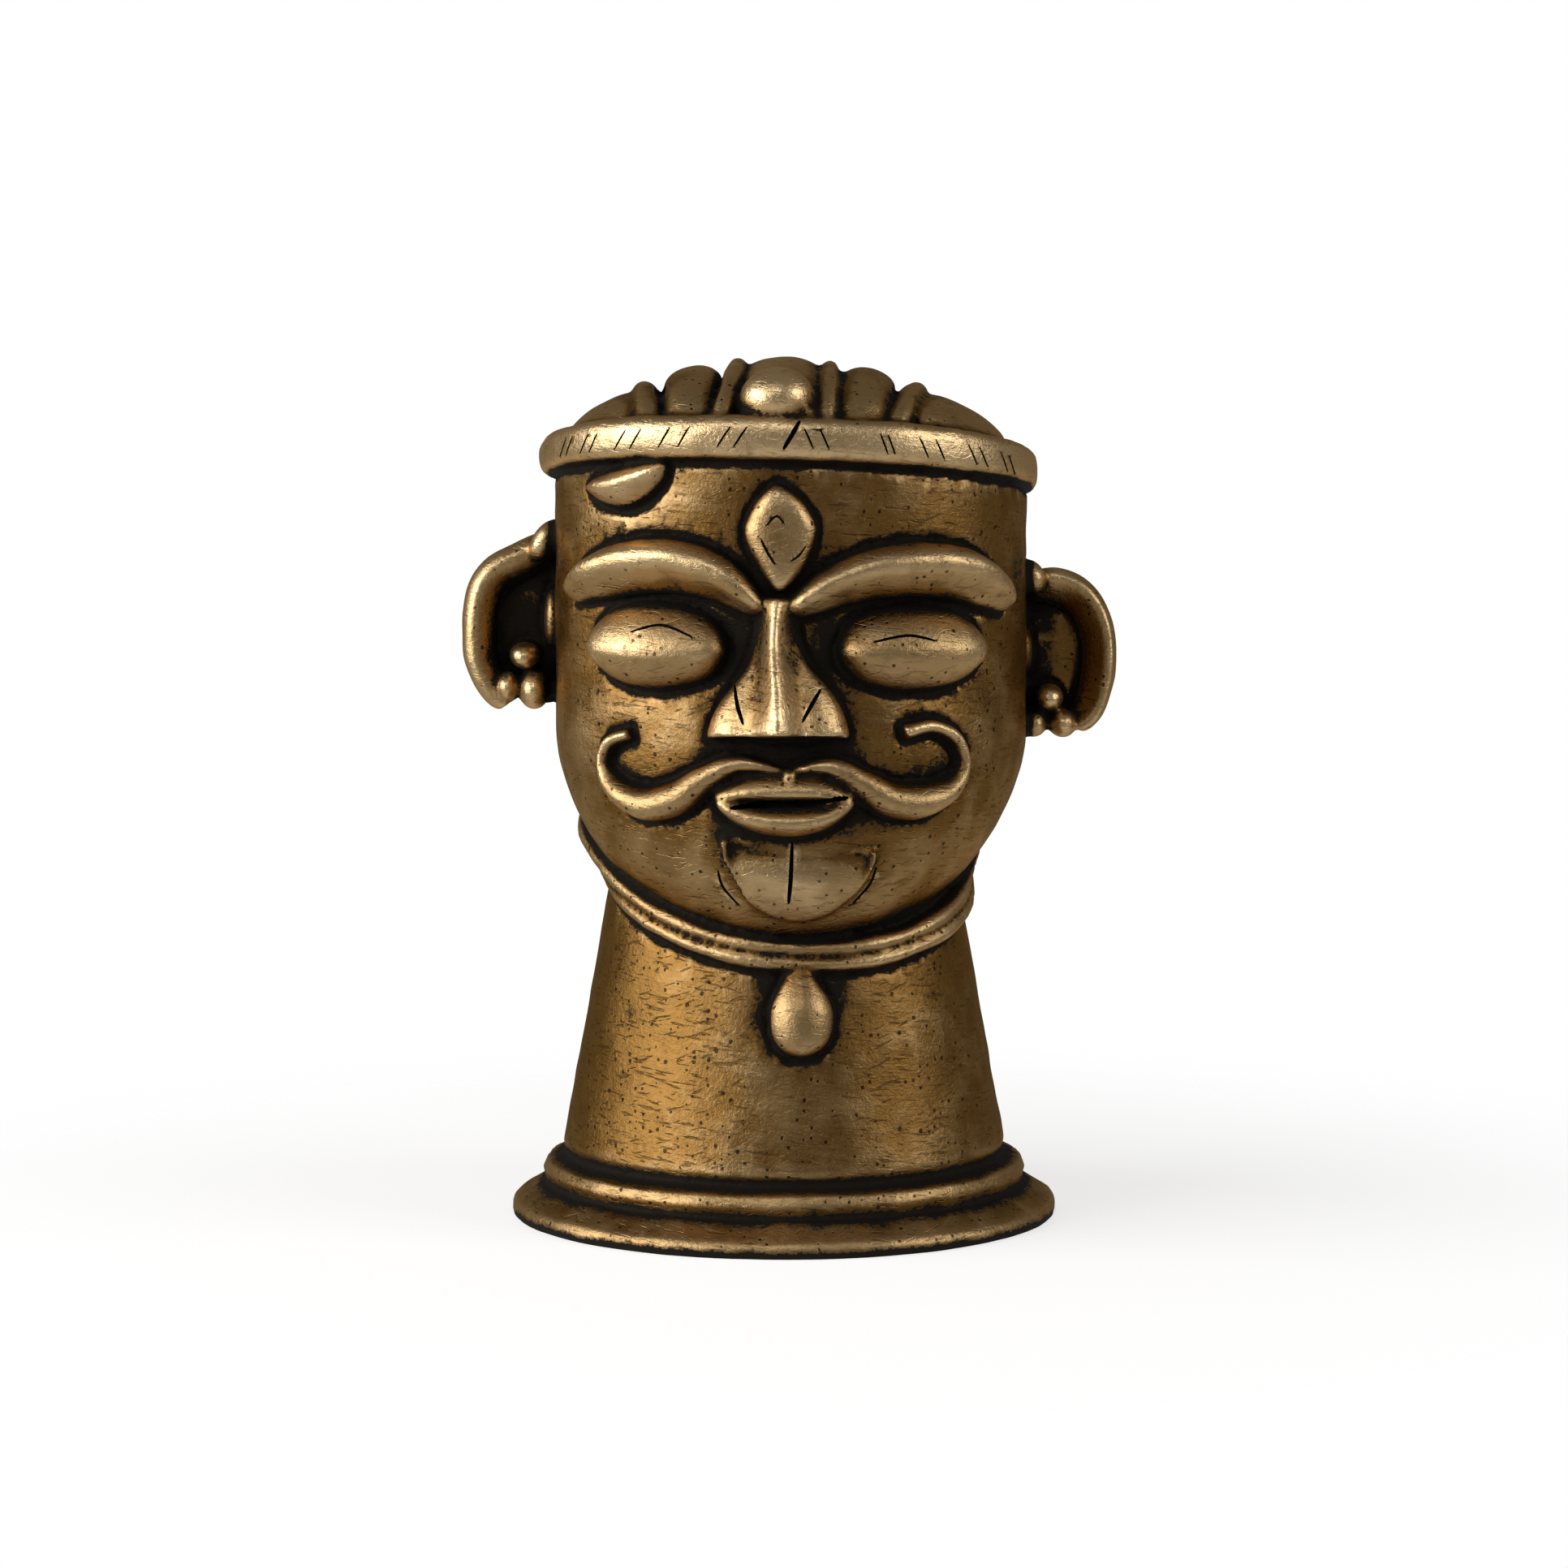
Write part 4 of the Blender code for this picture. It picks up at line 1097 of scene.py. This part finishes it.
def grain(scale, detail=4.0, stretch=(1.0, 1.0, 1.0), roughness=0.6, tilt=0.0):
    """Noise in the object's own space, in features to the metre."""
    mapping = node("ShaderNodeMapping", vector_type="TEXTURE")
    mapping.inputs["Scale"].default_value = tuple(1.0 / share for share in stretch)
    mapping.inputs["Rotation"].default_value = (0.0, tilt, 0.0)
    links.new(node("ShaderNodeTexCoord").outputs["Object"], mapping.inputs["Vector"])
    texture = node("ShaderNodeTexNoise")
    texture.inputs["Scale"].default_value = scale
    texture.inputs["Detail"].default_value = detail
    texture.inputs["Roughness"].default_value = roughness
    links.new(mapping.outputs["Vector"], texture.inputs["Vector"])
    return texture.outputs["Fac"]


def plug(value, socket):
    """Give a socket a number or another socket's value."""
    if isinstance(value, (int, float)):
        socket.default_value = value
    else:
        links.new(value, socket)


def math_node(operation, first, second=0.0, third=0.0):
    """One sum."""
    made = node("ShaderNodeMath", operation=operation)
    for value, socket in zip((first, second, third), made.inputs):
        plug(value, socket)
    return made.outputs["Value"]


def ramp(value, start, end):
    """0 below start and 1 above end, eased between."""
    made = node("ShaderNodeMapRange", interpolation_type="SMOOTHSTEP")
    plug(value, made.inputs["Value"])
    made.inputs["From Min"].default_value = start
    made.inputs["From Max"].default_value = end
    return made.outputs["Result"]


def mixed(share, first, second):
    """Two colours mixed."""
    made = node("ShaderNodeMix", data_type="RGBA")
    plug(share, made.inputs["Factor"])
    for colour, socket in ((first, made.inputs[6]), (second, made.inputs[7])):
        if isinstance(colour, tuple):
            socket.default_value = (*colour, 1.0)
        else:
            links.new(colour, socket)
    return made.outputs[2]


# The grain of the metal, from the finest to the broadest, and its scratches and nicks
dust = grain(5200.0, 2.0)
fine = grain(1500.0)
middle = grain(420.0)
patchy = grain(170.0, 3.0)
broad = grain(70.0, 3.0)
specks = grain(1150.0, 3.0, roughness=0.7)
strokes = grain(700.0, 3.0, (0.3, 0.3, 2.2), 0.6, 0.12)
dashes = grain(850.0, 2.0, (0.35, 0.35, 2.8), 0.45, 0.12)
nicks = grain(700.0, 2.0, (0.4, 0.4, 3.0), 0.45, -0.35)

# Casting pits of unlike sizes, which lie thickest among the specks
cells = node("ShaderNodeTexVoronoi")
cells.inputs["Scale"].default_value = 1000.0
links.new(node("ShaderNodeTexCoord").outputs["Object"], cells.inputs["Vector"])
chance = node("ShaderNodeSeparateColor")
links.new(cells.outputs["Color"], chance.inputs["Color"])
pit_size = math_node("MULTIPLY_ADD", ramp(chance.outputs["Red"], 0.4, 1.0), 0.30, -0.22)
pit_size = math_node("MULTIPLY_ADD", specks, 0.44, pit_size)
pits = ramp(math_node("SUBTRACT", pit_size, cells.outputs["Distance"]), 0.0, 0.05)

# Where the metal is black with patina and painted shade, darkened by stain and painted shade, worn
# and polished and lit by painted highlight, or scratched
patina_and_shade = math_node("MULTIPLY_ADD", middle, 0.7, stored("patina_and_shade"))
patina_and_shade = math_node("MULTIPLY_ADD", fine, 0.45, patina_and_shade)
patina_and_shade = math_node("MULTIPLY_ADD", patchy, 0.5, patina_and_shade)
speckled = math_node("MULTIPLY", ramp(patina_and_shade, 0.94, 1.22), ramp(specks, 0.48, 0.55))
black_patina_and_shade = math_node("MAXIMUM", ramp(patina_and_shade, 1.22, 1.36), speckled)
stain_and_shade = ramp(patina_and_shade, 0.80, 1.25)
wear_and_light = math_node("MULTIPLY_ADD", broad, 0.3, stored("bright"))
wear_and_light = math_node("MULTIPLY_ADD", strokes, 0.3, wear_and_light)
wear_and_light = math_node("MULTIPLY_ADD", fine, 0.25, wear_and_light)
polish_and_highlight = ramp(wear_and_light, 1.4, 2.0)
wear_and_light = ramp(wear_and_light, 0.74, 1.3)
scratch = math_node("MAXIMUM", ramp(dashes, 0.60, 0.70), ramp(nicks, 0.64, 0.72))
scratch = math_node("MULTIPLY", scratch, math_node("MULTIPLY_ADD", wear_and_light, -0.6, 1.0))
pits = math_node("MULTIPLY", pits, math_node("MULTIPLY_ADD", polish_and_highlight, -0.8, 1.0))

metal = mixed(middle, BROWN, LIGHT_BROWN)
metal = mixed(wear_and_light, metal, WORN_AND_LIT_BRASS)
metal = mixed(polish_and_highlight, metal, POLISHED_AND_HIGHLIGHT_BRASS)
metal = mixed(math_node("MULTIPLY", stain_and_shade, 0.6), metal, STAIN_AND_SHADE_BROWN)
metal = mixed(math_node("MULTIPLY", scratch, 0.5), metal, SCRATCH_DIRT)
metal = mixed(math_node("MULTIPLY", pits, 0.85), metal, PIT_DIRT)
links.new(mixed(black_patina_and_shade, metal, BLACK_PATINA_AND_SHADE), shader.inputs["Base Color"])
links.new(math_node("SUBTRACT", 1.0, black_patina_and_shade), shader.inputs["Metallic"])
shader.inputs["Specular IOR Level"].default_value = DULL_EDGE
shader.inputs["Specular Tint"].default_value = EDGE_TINT
rough = math_node("MULTIPLY_ADD", middle, 0.16, ROUGHNESS)
rough = math_node("MULTIPLY_ADD", polish_and_highlight, -0.08, rough)
links.new(math_node("MULTIPLY_ADD", black_patina_and_shade, 0.3, rough), shader.inputs["Roughness"])

# The fine roughness that can be felt, a quarter of a millimetre deep at most, with its pits
relief_height = math_node("MULTIPLY_ADD", dust, 0.25, math_node("MULTIPLY", fine, 0.7))
relief_height = math_node("MULTIPLY_ADD", scratch, -0.6, relief_height)
relief_height = math_node("MULTIPLY_ADD", pits, -0.9, relief_height)
relief_height = math_node("MULTIPLY_ADD", strokes, 0.35, relief_height)
bumps = node("ShaderNodeBump")
bumps.inputs["Strength"].default_value = BUMP_STRENGTH
bumps.inputs["Distance"].default_value = BUMP_HEIGHT
links.new(relief_height, bumps.inputs["Height"])
links.new(bumps.outputs["Normal"], shader.inputs["Normal"])

cast.data.materials.clear()
cast.data.materials.append(brass)
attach(cast, "root")
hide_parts("mukhalinga")

# The studio. A disc of pale paper fades at its edge into a white surround, and a large soft light
# shines from the left, a weaker one from the right and a small one from the front.
FLOOR_RADIUS = 0.17
floor_form = bmesh.new()
bmesh.ops.create_circle(floor_form, cap_ends=True, segments=96, radius=FLOOR_RADIUS)
floor = as_object("floor", floor_form)
paper = bpy.data.materials.new("pale_floor")
paper.use_nodes = True
paper_shader = paper.node_tree.nodes["Principled BSDF"]
paper_shader.inputs["Base Color"].default_value = (0.8, 0.8, 0.8, 1.0)
paper_shader.inputs["Roughness"].default_value = 0.8
paper_shader.inputs["Emission Color"].default_value = (1.0, 1.0, 1.0, 1.0)
paper_shader.inputs["Emission Strength"].default_value = 0.6
nodes, links = paper.node_tree.nodes, paper.node_tree.links
distance = node("ShaderNodeVectorMath", operation="LENGTH")
links.new(node("ShaderNodeTexCoord").outputs["Object"], distance.inputs[0])
faded = ramp(distance.outputs["Value"], FLOOR_RADIUS, 0.3 * FLOOR_RADIUS)
links.new(faded, paper_shader.inputs["Alpha"])
floor.data.materials.append(paper)
floor.visible_glossy = False


def soft_light(name, place, target, size, power):
    """A square soft light that looks at target."""
    light = bpy.data.lights.new(name, "AREA")
    light.shape = "RECTANGLE"
    light.size, light.size_y = size
    light.energy = power
    lamp = bpy.data.objects.new(name, light)
    lamp.location = place
    lamp.rotation_euler = (Vector(target) - Vector(place)).to_track_quat("-Z", "Y").to_euler()
    bpy.context.scene.collection.objects.link(lamp)
    return lamp


MIDDLE = (0.0, 0.0, 0.07)
soft_light("key", (-0.94, -0.34, 0.34), MIDDLE, (1.15, 0.8), 9.0)
soft_light("fill", (0.78, -0.28, 0.40), MIDDLE, (0.5, 0.5), 1.8)
soft_light("front", (-0.1, -1.0, 0.9), MIDDLE, (0.5, 0.3), 1.5)

world = bpy.data.worlds.new("studio")
world.use_nodes = True
bpy.context.scene.world = world
nodes, links = world.node_tree.nodes, world.node_tree.links
seen = nodes["Background"]
seen.inputs["Color"].default_value = (1.0, 1.0, 1.0, 1.0)
seen.inputs["Strength"].default_value = 1.0
room = nodes.new("ShaderNodeBackground")
room.inputs["Color"].default_value = (1.0, 0.98, 0.95, 1.0)
height = node("ShaderNodeSeparateXYZ")
links.new(node("ShaderNodeTexCoord").outputs["Generated"], height.inputs["Vector"])
below = ramp(math_node("MULTIPLY", height.outputs["Z"], -1.0), 0.08, 0.6)
links.new(math_node("MULTIPLY_ADD", below, 0.28, 0.15), room.inputs["Strength"])
paths = nodes.new("ShaderNodeLightPath")
choose = nodes.new("ShaderNodeMixShader")
links.new(paths.outputs["Is Camera Ray"], choose.inputs["Fac"])
links.new(room.outputs["Background"], choose.inputs[1])
links.new(seen.outputs["Background"], choose.inputs[2])
links.new(choose.outputs["Shader"], nodes["World Output"].inputs["Surface"])
bpy.context.scene.view_settings.view_transform = "Standard"
